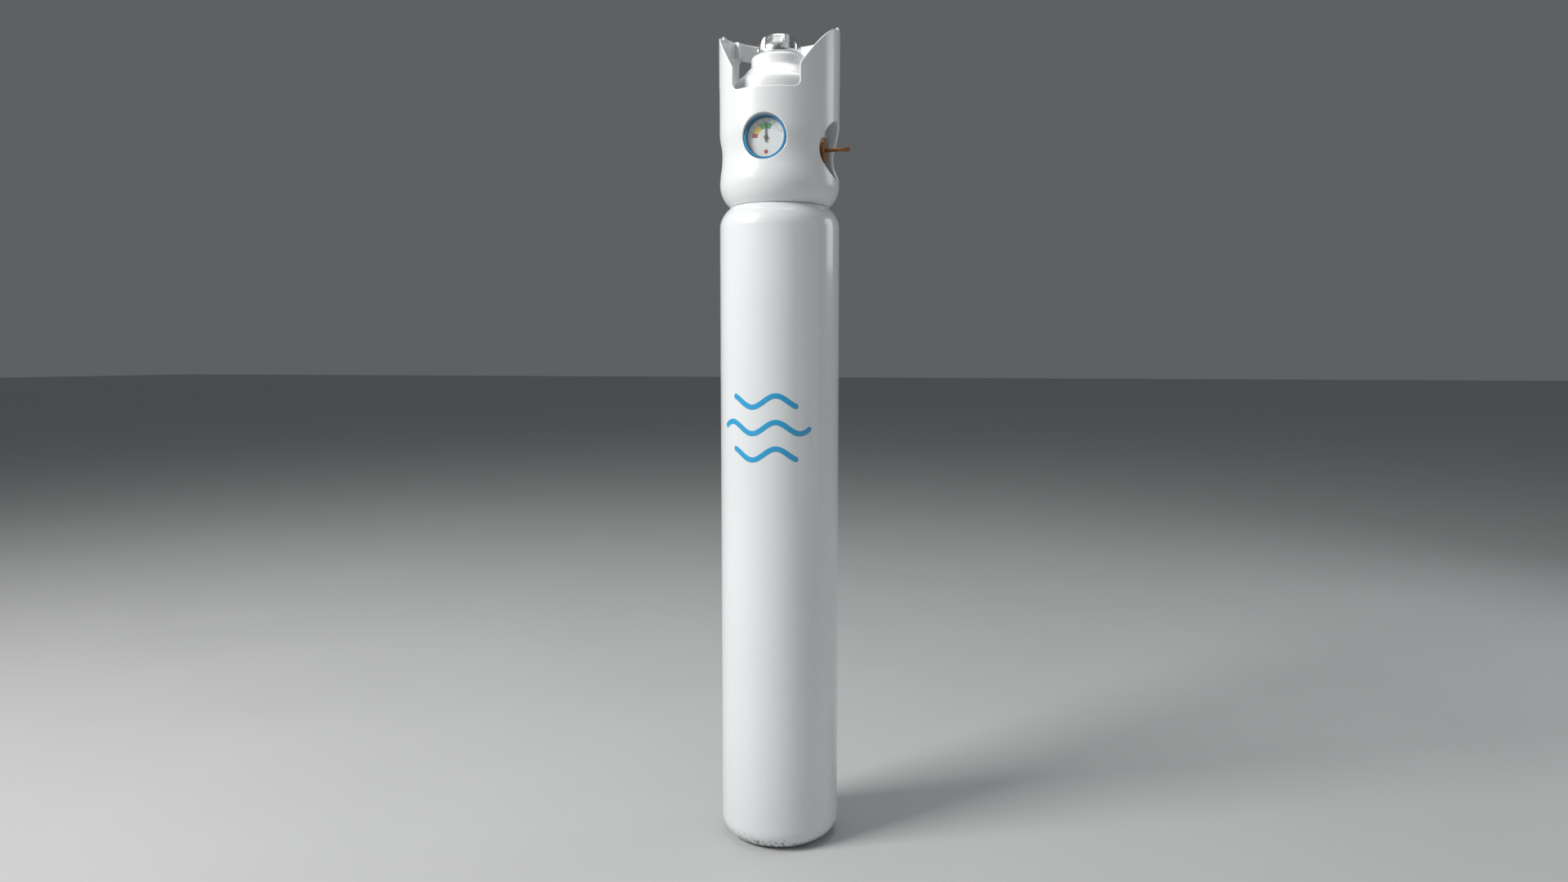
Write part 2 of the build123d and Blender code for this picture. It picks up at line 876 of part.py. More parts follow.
with BuildPart() as handwheel:
    with BuildSketch(Plane.XZ):
        with BuildLine():
            wheel_rim = (wheel_top_radius + lobe_round, wheel_top - wheel_rim_drop)
            Line((wheel_base_radius, wheel_skirt_top), (0, wheel_skirt_top))
            Spline(
                (wheel_base_radius, wheel_skirt_top),
                wheel_shoulder,
                wheel_rim,
                tangents=((0, 1), (-0.5, 1)),
            )
            TangentArc(wheel_rim, (wheel_top_radius - 1, wheel_top), tangent=(-0.5, 1))
            Polyline((wheel_top_radius - 1, wheel_top), (0, wheel_top), (0, wheel_skirt_top))
        make_face()
    revolve(axis=Axis.Z)
    with BuildSketch(Plane.XY.offset(wheel_skirt_top)) as lobes:
        Circle(wheel_base_radius)
        with PolarLocations(scallop_distance, wheel_lobes, start_angle=180 / wheel_lobes):
            Circle(scallop_radius, mode=Mode.SUBTRACT)
        fillet(lobes.vertices(), radius=lobe_round)
    extrude(lobes.sketch, amount=wheel_top - wheel_skirt_top, mode=Mode.INTERSECT)
    turn(
        [
            (0, wheel_bottom),
            (wheel_base_radius - 1, wheel_bottom),
            (wheel_base_radius, wheel_bottom + 1),
            (wheel_base_radius, wheel_skirt_top),
            (0, wheel_skirt_top),
        ]
    )
    with Locations((0, 0, wheel_bottom)):
        Box(
            square + square_gap,
            square + square_gap,
            wheel_top - wheel_bottom,
            align=on_floor,
            mode=Mode.SUBTRACT,
        )
    with Locations((0, 0, square_top + square_gap)):
        Cylinder(
            wheel_well,
            wheel_top - square_top,
            align=on_floor,
            mode=Mode.SUBTRACT,
        )
save(handwheel, "handwheel")

washer_bottom = square_top + square_gap
washer_top = washer_bottom + wheel_washer_height
with BuildPart() as wheel_washer:
    turn(
        [
            (wheel_screw_radius, washer_bottom),
            (wheel_washer_radius, washer_bottom),
            (wheel_washer_radius, washer_top),
            (wheel_screw_radius, washer_top),
        ]
    )
save(wheel_washer, "wheel_washer")

with BuildPart() as wheel_screw:
    head_radius, head_height = wheel_screw_head
    head_bevel = 0.5
    turn(
        [
            (0, square_top - wheel_screw_length),
            (wheel_screw_radius, square_top - wheel_screw_length),
            (wheel_screw_radius, washer_top),
            (head_radius, washer_top),
            (head_radius, washer_top + head_height - head_bevel),
            (head_radius - head_bevel, washer_top + head_height),
            (0, washer_top + head_height),
        ]
    )
    socket_radius, socket_depth = wheel_socket
    with BuildSketch(Plane.XY.offset(washer_top + head_height)) as socket_outline:
        RegularPolygon(socket_radius, 6)
    extrude(socket_outline.sketch, amount=-socket_depth, mode=Mode.SUBTRACT)
save(wheel_screw, "wheel_screw")

# --- Valve cover: a white bell over the valve block, held by a ring nut on the gland

with BuildPart() as valve_cover:
    with BuildSketch(Plane.XZ):
        with BuildLine():
            skirt_top = (cover_radius, cover_skirt_top)
            Line((cover_radius, cover_bottom), skirt_top)
            Spline(skirt_top, *cover_bell, cover_neck, tangents=((0, 1), (0, 1)))
            TangentArc(cover_neck, (cover_rim_radius, cover_top), tangent=(0, 1))
            inner_neck = (cover_inner_neck, cover_seat)
            Polyline(
                (cover_rim_radius, cover_top),
                (cover_recess, cover_top),
                (cover_recess, cover_recess_floor),
                (gland_tip_radius, cover_recess_floor),
                (gland_tip_radius, cover_seat),
                inner_neck,
            )
            inner_skirt_top = (cover_radius - cover_wall, cover_inner_skirt_top)
            Spline(inner_neck, *cover_inner_bell, inner_skirt_top, tangents=((0, -1), (0, -1)))
            Polyline(
                inner_skirt_top,
                (cover_radius - cover_wall, cover_bottom),
                (cover_radius, cover_bottom),
            )
        make_face()
    revolve(axis=Axis.Z)
    for port, radius in (
        (front, case_radius + loose_gap),
        (outlet, bonnet_flange + loose_gap),
        (filling, cover_filling_hole),
        (relief, cover_relief_hole),
    ):
        turn(
            [(case_back, 0), (case_back, radius), (shell_radius, radius), (shell_radius, 0)],
            port,
            Mode.SUBTRACT,
        )
save(valve_cover, "valve_cover")

with BuildPart() as cover_nut:
    turn(
        [
            (gland_tip_radius, cover_recess_floor),
            (cover_nut_radius, cover_recess_floor),
            (cover_nut_radius, cover_nut_top - cover_nut_bevel),
            (cover_nut_radius - cover_nut_bevel, cover_nut_top),
            (gland_tip_radius, cover_nut_top),
        ]
    )
    slot_side, slot_height = cover_nut_slot
    with PolarLocations(cover_nut_radius, 6):
        with Locations((0, 0, cover_recess_floor)):
            Box(slot_side, slot_side, slot_height, align=on_floor, mode=Mode.SUBTRACT)
save(cover_nut, "cover_nut")

# --- Contents gauge: case, Bourdon tube, toothed sector, pointer, dial, lens and bezel

dial_block = dial.offset(case_back + case_wall)
tube_middle = block_face - bourdon_half_width - bourdon_gap
with BuildPart() as gauge_socket:
    block_back = case_back + case_wall
    turn(
        [
            (socket_start, 0),
            (socket_start, gauge_thread[1]),
            (gauge_boss[0], gauge_thread[1]),
            (gauge_boss[0], socket_collar),
            (block_back, socket_collar),
            (block_back, 0),
        ],
        front,
    )
    hexagon(dial, gauge_boss[0] + 2 * running_gap, case_back - 2 * running_gap, socket_flats)
    with BuildSketch(dial_block) as block_outline:
        with Locations((0, -socket_block_drop)):
            Rectangle(*socket_block)
    extrude(block_outline.sketch, amount=block_face - block_back)
    turn(
        [
            (socket_start, 0),
            (socket_start, passage_radius),
            (tube_middle, passage_radius),
            (tube_middle, 0),
        ],
        front,
        Mode.SUBTRACT,
    )
    with BuildSketch(dial.offset(block_face)) as block_holes:
        with Locations(*[place for place in pillars if place[0] > 0]):
            Circle(pillar_screw)
    extrude(block_holes.sketch, amount=-pillar_screw_depth, mode=Mode.SUBTRACT)
save(gauge_socket, "gauge_socket")

with BuildPart() as gauge_case:
    turn(
        [
            (case_back, socket_collar),
            (case_back, case_radius),
            (case_front, case_radius),
            (case_front, dial_radius + bourdon_gap),
            (dial_front - dial_thickness, dial_radius + bourdon_gap),
            (dial_front - dial_thickness, dial_radius - dial_ledge),
            (case_back + case_wall, dial_radius - dial_ledge),
            (case_back + case_wall, socket_collar),
        ],
        front,
    )
save(gauge_case, "gauge_case")

# The flattened tube bends round the gauge's axis from the socket to its free end
start_angle = radians(bourdon_start)
start_arm = Vector(cos(start_angle), 0, sin(start_angle))
with BuildPart() as bourdon_tube:
    with BuildSketch(
        Plane(
            origin=(0, 0, gauge_height),
            x_dir=start_arm,
            z_dir=start_arm.cross(Vector(0, -1, 0)),
        )
    ) as tube_section:
        with Locations((bourdon_radius, tube_middle)):
            SlotOverall(2 * bourdon_half_width, 2 * bourdon_half_thickness, rotation=90)
            SlotOverall(
                2 * (bourdon_half_width - bourdon_wall),
                2 * (bourdon_half_thickness - bourdon_wall),
                rotation=90,
                mode=Mode.SUBTRACT,
            )
    revolve(
        tube_section.sketch,
        axis=Axis((0, 0, gauge_height), (0, -1, 0)),
        revolution_arc=bourdon_end - bourdon_start,
    )
save(bourdon_tube, "bourdon_tube")

# The toothed sector turns on a pivot beside the pinion, and the link moves its tail
pinion_radius = gear_module * pinion_teeth / 2
sector_radius = gear_module * sector_teeth_round / 2
gear_distance = pinion_radius + sector_radius
pivot_angle = radians(sector_pivot_angle)
pivot = (gear_distance * cos(pivot_angle), gear_distance * sin(pivot_angle))
tail = (
    (gear_distance + tail_length) * cos(pivot_angle),
    (gear_distance + tail_length) * sin(pivot_angle),
)
mesh_angle = sector_pivot_angle - 180
tip_height = 0.85 * gear_module
root_depth = 1.1 * gear_module
tooth_pitch = pi * gear_module


def tooth(pitch_radius):
    """Adds one tooth of a gear along the sketch's +X, for a polar pattern."""
    root, tip = pitch_radius - root_depth, pitch_radius + tip_height
    Polygon(
        (root - 0.1, -0.27 * tooth_pitch),
        (tip, -0.11 * tooth_pitch),
        (tip, 0.11 * tooth_pitch),
        (root - 0.1, 0.27 * tooth_pitch),
        align=None,
    )


def gear_plane(centre, start):
    """A gear's plane on the dial, with local x along the line from the sector to the pinion."""
    line = Vector(cos(radians(mesh_angle)), 0, sin(radians(mesh_angle)))
    return Plane(dial.offset(start).from_local_coords((*centre, 0)), line, dial.z_dir)


with BuildPart() as sector_gear:
    with BuildSketch(gear_plane(pivot, gear_back)) as sector_outline:
        fan_half = 180 * (sector_teeth + 1) / sector_teeth_round
        fan_radius = sector_radius - root_depth
        fan_edge = (fan_radius * cos(radians(fan_half)), fan_radius * sin(radians(fan_half)))
        with BuildLine():
            ThreePointArc(fan_edge, (fan_radius, 0), (fan_edge[0], -fan_edge[1]))
            Polyline((fan_edge[0], -fan_edge[1]), (0, -1.6), (0, 1.6), fan_edge)
        make_face()
        Polygon(
            (0, -1.6),
            (0, 1.6),
            (-tail_length - 1.2, 1.2),
            (-tail_length - 1.2, -1.2),
            align=None,
        )
        Circle(2)
        tooth_step = 360 / sector_teeth_round
        with PolarLocations(
            0,
            sector_teeth,
            start_angle=-tooth_step * (sector_teeth - 1) / 2,
            angular_range=tooth_step * (sector_teeth - 1),
            endpoint=True,
        ):
            tooth(sector_radius)
    extrude(sector_outline.sketch, amount=gear_front - gear_back)
    for place, radius, start, end in (
        (pivot, arbor_radius, block_face + 0.1, front_plate + plate_thickness),
        (tail, link_pin_radius, block_face + 0.4, gear_back),
    ):
        with BuildSketch(dial.offset(start)) as pin:
            with Locations(place):
                Circle(radius)
        extrude(pin.sketch, amount=end - start)
save(sector_gear, "sector_gear")

with BuildPart() as pointer_pinion:
    with BuildSketch(gear_plane((0, 0), gear_back - pinion_overhang)) as pinion_outline:
        Circle(pinion_radius - root_depth)
        with PolarLocations(0, pinion_teeth, start_angle=180 / pinion_teeth):
            tooth(pinion_radius)
    extrude(pinion_outline.sketch, amount=gear_front - gear_back + 2 * pinion_overhang)
    shaft_start = block_face + 2 * running_gap
    with BuildSketch(dial.offset(shaft_start)) as pointer_shaft:
        Circle(arbor_radius)
    extrude(pointer_shaft.sketch, amount=shaft_end - shaft_start)
save(pointer_pinion, "pointer_pinion")

with BuildPart() as pointer:
    with BuildSketch(dial.offset(pointer_back)) as needle_outline:
        Polygon(*needle, align=None)
        Circle(needle_hub)
        Circle(arbor_radius, mode=Mode.SUBTRACT)
    extrude(needle_outline.sketch, amount=pointer_thickness)
    with BuildSketch(dial.offset(hub_back)) as hub_ring:
        Circle(hub_radius)
        Circle(arbor_radius, mode=Mode.SUBTRACT)
    extrude(hub_ring.sketch, amount=hub_length)
save(pointer, "pointer")

# The tube's free end carries a lug, and the link joins the lug to the sector's tail
with BuildPart() as tube_lug:
    lug_back = tube_middle - bourdon_half_width
    with BuildSketch(dial.offset(lug_back)) as lug_outline:
        with Locations((link_top[0], link_top[1] - lug_drop)):
            Rectangle(lug_width, lug_height)
    extrude(lug_outline.sketch, amount=block_face + loose_gap - lug_back)
    with BuildSketch(dial.offset(block_face)) as lug_pin:
        with Locations(link_top):
            Circle(link_pin_radius)
    extrude(lug_pin.sketch, amount=link_back + link_thickness + bourdon_gap - block_face)
save(tube_lug, "tube_lug")

with BuildPart() as pressure_link:
    with BuildSketch(dial.offset(link_back)) as link_outline:
        for place in (tail, link_top):
            with Locations(place):
                Circle(link_half_width)
        make_hull()
        for place in (tail, link_top):
            with Locations(place):
                Circle(link_pin_radius + running_gap, mode=Mode.SUBTRACT)
    extrude(link_outline.sketch, amount=link_thickness)
save(pressure_link, "pressure_link")

# Two plates carry the arbors, on screwed pillars

def movement_plate(start):
    """Adds a plate of the movement with its bearing and screw holes."""
    with BuildSketch(dial.offset(start)) as outline:
        for place in (*pillars, pivot):
            with Locations(place):
                Circle(plate_margin)
        make_hull()
        for place in ((0, 0), pivot):
            with Locations(place):
                Circle(arbor_radius + running_gap, mode=Mode.SUBTRACT)
        for place in pillars:
            with Locations(place):
                Circle(pillar_screw, mode=Mode.SUBTRACT)
    extrude(outline.sketch, amount=plate_thickness)


with BuildPart() as movement_plates:
    movement_plate(block_face)
    movement_plate(front_plate)
save(movement_plates, "movement_plates")

with BuildPart() as movement_pillars:
    for place in pillars:
        with BuildSketch(dial.offset(block_face + plate_thickness)) as pillar:
            with Locations(place):
                Circle(pillar_radius)
                Circle(pillar_screw, mode=Mode.SUBTRACT)
        extrude(pillar.sketch, amount=front_plate - block_face - plate_thickness)
save(movement_pillars, "movement_pillars")

with BuildPart() as movement_screws:
    for place in pillars:
        shank_start = block_face - (movement_screw_depth if place[0] > 0 else 0)
        with BuildSketch(dial.offset(shank_start)) as shank:
            with Locations(place):
                Circle(pillar_screw)
        screw_face = front_plate + plate_thickness
        extrude(shank.sketch, amount=screw_face - shank_start)
        with BuildSketch(dial.offset(screw_face)) as head:
            with Locations(place):
                Circle(movement_screw_head[0])
        extrude(head.sketch, amount=movement_screw_head[1])
save(movement_screws, "movement_screws")

with BuildPart() as dial_plate:
    with BuildSketch(dial.offset(dial_front - dial_thickness)) as dial_disc:
        Circle(dial_radius)
        Circle(dial_hole, mode=Mode.SUBTRACT)
    extrude(dial_disc.sketch, amount=dial_thickness)
save(dial_plate, "dial_plate")

with BuildPart() as gauge_lens:
    with BuildSketch(dial.offset(case_front)) as lens_disc:
        Circle(case_radius)
    extrude(lens_disc.sketch, amount=lens_front - case_front)
save(gauge_lens, "gauge_lens")

with BuildPart() as gauge_bezel:
    turn(
        [
            (bezel_back, case_radius),
            (bezel_back, bezel_radius),
            (bezel_front - 0.5, bezel_radius),
            (bezel_front, bezel_radius - 0.5),
            (bezel_front, bezel_opening),
            (lens_front, bezel_opening),
            (lens_front, case_radius),
        ],
        front,
    )
save(gauge_bezel, "gauge_bezel")

# --- Pressure regulator behind the outlet: a spring-loaded hollow piston in a bonnet

head_back, head_front = piston_head
with BuildPart() as regulator_piston:
    turn(
        [
            (piston_face, 0),
            (piston_face, piston_nose),
            (piston_nose_end, piston_nose),
            (piston_nose_end, stem_radius),
            (stem_groove[0], stem_radius),
            (stem_groove[0], stem_groove_radius),
            (stem_groove[1], stem_groove_radius),
            (stem_groove[1], stem_radius),
            (head_back, stem_radius),
            (head_back, piston_bore - running_gap),
            (head_groove[0], piston_bore - running_gap),
            (head_groove[0], head_groove_radius),
            (head_groove[1], head_groove_radius),
            (head_groove[1], piston_bore - running_gap),
            (head_front, piston_bore - running_gap),
            (head_front, 0),
        ],
        outlet,
    )
    turn(piston_bore_outline, outlet, Mode.SUBTRACT)
    turn(piston_seat_outline, outlet, Mode.SUBTRACT)
    with Locations((piston_hole_place, 0, port_height)):
        Cylinder(piston_hole_radius, 2 * stem_radius, mode=Mode.SUBTRACT)
save(regulator_piston, "regulator_piston")

with BuildPart() as regulator_seat:
    turn(piston_seat_outline, outlet)
save(regulator_seat, "regulator_seat")

with BuildPart() as piston_rings:
    for station, ring_path, ring_section in (stem_ring, head_ring):
        ring_centre = outlet.origin + outlet.x_dir * station
        with Locations(Plane(ring_centre, outlet.z_dir, outlet.x_dir)):
            Torus(ring_path, ring_section)
save(piston_rings, "piston_rings")

with BuildPart() as regulator_spring:
    wind(outlet, *regulator_spring_size)
save(regulator_spring, "regulator_spring")

with BuildPart() as regulator_bonnet:
    turn(
        [
            (bonnet_start, boss_radius),
            *bonnet_side,
            (bonnet_end - bonnet_bevel, bonnet_flange),
            (bonnet_end, bonnet_flange - bonnet_bevel),
            (bonnet_end, spigot_root),
            (spigot_start, spigot_root),
            (spigot_start, nozzle_radius),
            (bonnet_floor, nozzle_radius),
            (bonnet_floor, piston_bore),
            (boss_end, piston_bore),
            (boss_end, boss_radius),
        ],
        outlet,
    )
save(regulator_bonnet, "regulator_bonnet")

with BuildPart() as outlet_spigot:
    turn(
        [
            (spigot_start, spigot_bore),
            (spigot_start, spigot_root),
            (bonnet_end, spigot_root),
            (bonnet_end, spigot_radius),
            (spigot_taper[0], spigot_radius),
            (spigot_taper[1], spigot_tip_radius),
            (spigot_end - spigot_bevel, spigot_tip_radius),
            (spigot_end, spigot_tip_radius - spigot_bevel),
            (spigot_end, spigot_bore),
        ],
        outlet,
    )
save(outlet_spigot, "outlet_spigot")

# --- Filling port: a body with a spring-loaded check poppet, and a push-on cap

with BuildPart() as filling_body:
    turn(filling_body_outline, filling)
    hexagon(face_plane(filling), *filling_hex)
    turn(filling_bore_outline, filling, Mode.SUBTRACT)
save(filling_body, "filling_body")

with BuildPart() as filling_poppet:
    turn(filling_poppet_outline, filling)
    flutes(face_plane(filling), *filling_flutes)
save(filling_poppet, "filling_poppet")

with BuildPart() as filling_spring:
    wind(filling, *filling_spring_size)
save(filling_spring, "filling_spring")

with BuildPart() as filling_cap:
    turn(
        [
            (cap_start, filling_mouth[1] + running_gap),
            (cap_start, cap_radius),
            (cap_end - cap_bevel, cap_radius),
            (cap_end, cap_radius - cap_bevel),
            (cap_end, 0),
            (filling_mouth[0] + running_gap, 0),
            (filling_mouth[0] + running_gap, filling_mouth[1] + running_gap),
        ],
        filling,
    )
save(filling_cap, "filling_cap")

# --- Relief valve at the back of the block

with BuildPart() as relief_body:
    turn(relief_body_outline, relief)
    hexagon(face_plane(relief), *relief_hex)
    turn(relief_bore_outline, relief, Mode.SUBTRACT)
save(relief_body, "relief_body")

with BuildPart() as relief_poppet:
    turn(relief_poppet_outline, relief)
    flutes(face_plane(relief), *relief_flutes)
save(relief_poppet, "relief_poppet")

with BuildPart() as relief_spring:
    wind(relief, *relief_spring_size)
save(relief_spring, "relief_spring")

with BuildPart() as relief_plug:
    turn(relief_plug_outline, relief)
    with Locations((0, relief_plug_outline[-1][0], relief_height)):
        Box(*relief_plug_slot, mode=Mode.SUBTRACT)
save(relief_plug, "relief_plug")
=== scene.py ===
import json
import logging
import math
from abc import ABC, abstractmethod
from collections.abc import Callable, Mapping
from dataclasses import dataclass
from enum import Enum
from typing import Any, Union

import bmesh
import bpy
import numpy as np
from mathutils import Matrix, Vector


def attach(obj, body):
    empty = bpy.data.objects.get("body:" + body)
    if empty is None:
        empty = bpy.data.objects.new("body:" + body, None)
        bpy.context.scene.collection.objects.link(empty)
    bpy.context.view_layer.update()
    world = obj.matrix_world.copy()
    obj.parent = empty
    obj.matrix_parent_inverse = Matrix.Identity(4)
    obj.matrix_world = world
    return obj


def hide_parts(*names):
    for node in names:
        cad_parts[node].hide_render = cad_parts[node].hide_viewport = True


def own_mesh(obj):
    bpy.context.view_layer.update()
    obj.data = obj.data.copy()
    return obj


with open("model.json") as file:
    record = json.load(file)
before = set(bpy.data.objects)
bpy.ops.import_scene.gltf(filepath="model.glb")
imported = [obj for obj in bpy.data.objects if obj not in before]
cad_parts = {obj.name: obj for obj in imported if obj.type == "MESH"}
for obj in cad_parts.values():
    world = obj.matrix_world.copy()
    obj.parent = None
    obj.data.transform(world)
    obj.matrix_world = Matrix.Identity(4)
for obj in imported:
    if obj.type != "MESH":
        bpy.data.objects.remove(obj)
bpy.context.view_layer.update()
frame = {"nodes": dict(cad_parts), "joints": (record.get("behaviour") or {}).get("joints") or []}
CAMERA_PLACE = Vector((0.3342, -1.2216, 0.5748))
CAMERA_AIM = Vector((0.00487, 0.00133, 0.4762))
LOG = logging.getLogger("oxygen_cylinder")
MM = 0.001
Triple = tuple[float, float, float]
Colour = Triple
Number = Union["Value", float, int]


# --- Shader maths -------------------------------------------------------------------------------


class Value:
    """A number on a node's output socket, which arithmetic turns into Math nodes."""

    def __init__(self, graph: "Graph", socket: bpy.types.NodeSocket) -> None:
        """Wraps a socket.

        Args:
            graph: the node tree that new Math nodes are added to.
            socket: the output socket that gives the number.
        """
        self.graph = graph
        self.socket = socket

    def _math(self, operation: str, *terms: Number, clamp: bool = False) -> "Value":
        """Adds one Math node.

        Args:
            operation: the node's operation, such as "ADD".
            terms: its inputs, in order.
            clamp: whether its result is kept between 0 and 1.

        Returns:
            The node's result.
        """
        settings = {"operation": operation, "use_clamp": clamp}
        return self.graph.value("ShaderNodeMath", settings, dict(enumerate(terms)))

    def __add__(self, other: Number) -> "Value":
        """The sum."""
        return self._math("ADD", self, other)

    def __radd__(self, other: Number) -> "Value":
        """The sum, with a plain number first."""
        return self._math("ADD", other, self)

    def __sub__(self, other: Number) -> "Value":
        """The difference."""
        return self._math("SUBTRACT", self, other)

    def __rsub__(self, other: Number) -> "Value":
        """The difference from a plain number."""
        return self._math("SUBTRACT", other, self)

    def __mul__(self, other: Number) -> "Value":
        """The product."""
        return self._math("MULTIPLY", self, other)

    def __rmul__(self, other: Number) -> "Value":
        """The product, with a plain number first."""
        return self._math("MULTIPLY", other, self)

    def __pow__(self, other: Number) -> "Value":
        """The power."""
        return self._math("POWER", self, other)

    def clamped(self) -> "Value":
        """The value kept between 0 and 1."""
        return self._math("ADD", self, 0.0, clamp=True)

    def sine(self) -> "Value":
        """The sine of the value, in radians."""
        return self._math("SINE", self)

    def highest(self, other: Number) -> "Value":
        """The larger of the two."""
        return self._math("MAXIMUM", self, other)

    def ramp(self, low: float, high: float) -> "Value":
        """A smooth step from 0 at low to 1 at high.

        Args:
            low: where the step starts.
            high: where it ends, which may be below low.

        Returns:
            The step.
        """
        settings = {"interpolation_type": "SMOOTHSTEP"}
        if low > high:
            return 1.0 - self.ramp(high, low)
        inputs = {"Value": self, "From Min": low, "From Max": high}
        return self.graph.value("ShaderNodeMapRange", settings, inputs)


class Graph:
    """The node tree of one material."""

    def __init__(self, name: str) -> None:
        """Makes an empty material.

        Args:
            name: the material's name.
        """
        self.material = bpy.data.materials.new(name)
        self.material.use_nodes = True
        self.tree = self.material.node_tree
        self.tree.nodes.clear()
        self.place = self.node("ShaderNodeTexCoord").outputs["Object"]

    def node(
        self,
        kind: str,
        settings: Mapping[str, Any] | None = None,
        inputs: Mapping[str | int, Any] | None = None,
    ) -> bpy.types.Node:
        """Adds a node.

        Args:
            kind: its type, such as "ShaderNodeBump".
            settings: its properties, set first.
            inputs: the values or links of its sockets, by name or by number.

        Returns:
            The node.
        """
        node = self.tree.nodes.new(kind)
        for key, value in (settings or {}).items():
            setattr(node, key, value)
        for key, value in (inputs or {}).items():
            if isinstance(value, Value):
                self.tree.links.new(value.socket, node.inputs[key])
            elif isinstance(value, bpy.types.NodeSocket):
                self.tree.links.new(value, node.inputs[key])
            elif isinstance(value, tuple) and len(value) == 3 and node.inputs[key].type == "RGBA":
                node.inputs[key].default_value = (*value, 1.0)
            else:
                node.inputs[key].default_value = value
        return node

    def value(
        self,
        kind: str,
        settings: Mapping[str, Any] | None = None,
        inputs: Mapping[str | int, Any] | None = None,
        output: str | int = 0,
    ) -> Value:
        """Adds a node and wraps one of its outputs.

        Args:
            kind: its type.
            settings: its properties.
            inputs: its sockets' values or links.
            output: the output to wrap.

        Returns:
            The output as a value.
        """
        return Value(self, self.node(kind, settings, inputs).outputs[output])

    def noise(
        self, size: float, detail: float = 2.0, stretch: Triple = (1.0, 1.0, 1.0)
    ) -> Value:
        """A soft random pattern fixed to the piece.

        Args:
            size: the pattern's grain in metres.
            detail: how many finer layers it has.
            stretch: how many times longer the grain is along X, Y and Z.

        Returns:
            The pattern, from 0 to 1.
        """
        scale = tuple(1.0 / (size * s) for s in stretch)
        mapping = self.node("ShaderNodeMapping", None, {"Vector": self.place, "Scale": scale})
        inputs = {"Vector": mapping.outputs[0], "Scale": 1.0, "Detail": detail, "Roughness": 0.55}
        return self.value("ShaderNodeTexNoise", None, inputs, "Fac")

    def cells(self, size: float) -> Value:
        """The distance to the nearest of scattered points.

        Args:
            size: the points' spacing in metres.

        Returns:
            The distance, 0 at a point.
        """
        inputs = {"Vector": self.place, "Scale": 1.0 / size}
        return self.value("ShaderNodeTexVoronoi", None, inputs, "Distance")

    def axis(self, letter: str) -> Value:
        """One of the piece's own coordinates, in metres.

        Args:
            letter: "X", "Y" or "Z".

        Returns:
            The coordinate.
        """
        return self.value("ShaderNodeSeparateXYZ", None, {0: self.place}, letter)

    def mix(self, share: Number, first: Any, second: Any) -> bpy.types.NodeSocket:
        """A colour between two colours.

        Args:
            share: 0 for the first, 1 for the second.
            first: a colour or a colour socket.
            second: a colour or a colour socket.

        Returns:
            The mixed colour's socket.
        """
        settings = {"data_type": "RGBA", "clamp_factor": True}
        node = self.node("ShaderNodeMix", settings, {0: share, 6: first, 7: second})
        return node.outputs[2]

    def bump(self, height: Value, distance: float, strength: float = 1.0) -> bpy.types.NodeSocket:
        """A bumped normal.

        Args:
            height: the relief, from 0 to 1.
            distance: what a height of 1 stands for, in metres.
            strength: how strongly it shades.

        Returns:
            The normal's socket.
        """
        inputs = {"Height": height, "Distance": distance, "Strength": strength}
        return self.node("ShaderNodeBump", None, inputs).outputs[0]

    def surface(self, inputs: Mapping[str, Any]) -> bpy.types.Node:
        """Adds a Principled shader.

        Args:
            inputs: its sockets' values or links.

        Returns:
            The shader node.
        """
        return self.node("ShaderNodeBsdfPrincipled", None, inputs)

    def finish(self, shader: bpy.types.Node) -> bpy.types.Material:
        """Joins a shader to the output.

        Args:
            shader: the last shader node.

        Returns:
            The finished material.
        """
        self.node("ShaderNodeOutputMaterial", None, {"Surface": shader.outputs[0]})
        return self.material


# --- Finishes -----------------------------------------------------------------------------------


@dataclass(frozen=True)
class Finish(ABC):
    """How a surface looks.

    Args:
        name: the material's name.
        colour: the main colour.
        rough: the mean roughness.
    """

    name: str
    colour: Colour
    rough: float

    @abstractmethod
    def make(self) -> bpy.types.Material:
        """Builds the material."""


@dataclass(frozen=True)
class CylinderPaint(Finish):
    """Gloss paint on a seamless steel bottle: orange peel, handling scuffs, chips at the foot.

    Args:
        shade: the colour towards the foot and in the grime.
        steel: the metal that shows in a chip.
        foot: the height under which the foot is chipped.
    """

    shade: Colour = (0.60, 0.63, 0.65)
    steel: Colour = (0.23, 0.22, 0.21)
    foot: float = 0.030

    def make(self) -> bpy.types.Material:
        """Builds the material.

        The tint is the main colour, drifting a little with a broad noise and towards the foot.
        Chips are where a fine noise passes a threshold that falls near the foot.
        """
        graph = Graph(self.name)
        height = graph.axis("Z")
        drift = graph.noise(0.12, 3.0)
        fine = graph.noise(0.0035, 2.0)
        scuffs = graph.noise(0.011, 5.0, (1.0, 1.0, 5.0)).ramp(0.60, 0.80)
        grime = (height.ramp(0.16, 0.0) * 0.5 + drift.ramp(0.45, 0.75) * 0.18).clamped()
        near_foot = height.ramp(self.foot, 0.004)
        chips = (graph.noise(0.0045, 4.0) + near_foot * 0.16).ramp(0.70, 0.725) * near_foot
        tint = graph.mix(grime * 0.55 + scuffs * 0.10, self.colour, self.shade)
        tint = graph.mix(chips, tint, self.steel)
        peel = graph.noise(0.0045, 1.0)
        relief = peel * 0.6 + fine * 0.15 - chips * 0.9
        return graph.finish(
            graph.surface(
                {
                    "Base Color": tint,
                    "Roughness": self.rough + drift * 0.10 + scuffs * 0.22 + chips * 0.3,
                    "Metallic": chips * 0.8,
                    "Normal": graph.bump(relief, 0.00006, 0.5),
                    "Coat Weight": (0.55 - scuffs * 0.35 - chips * 0.5).clamped(),
                    "Coat Roughness": 0.08,
                }
            )
        )


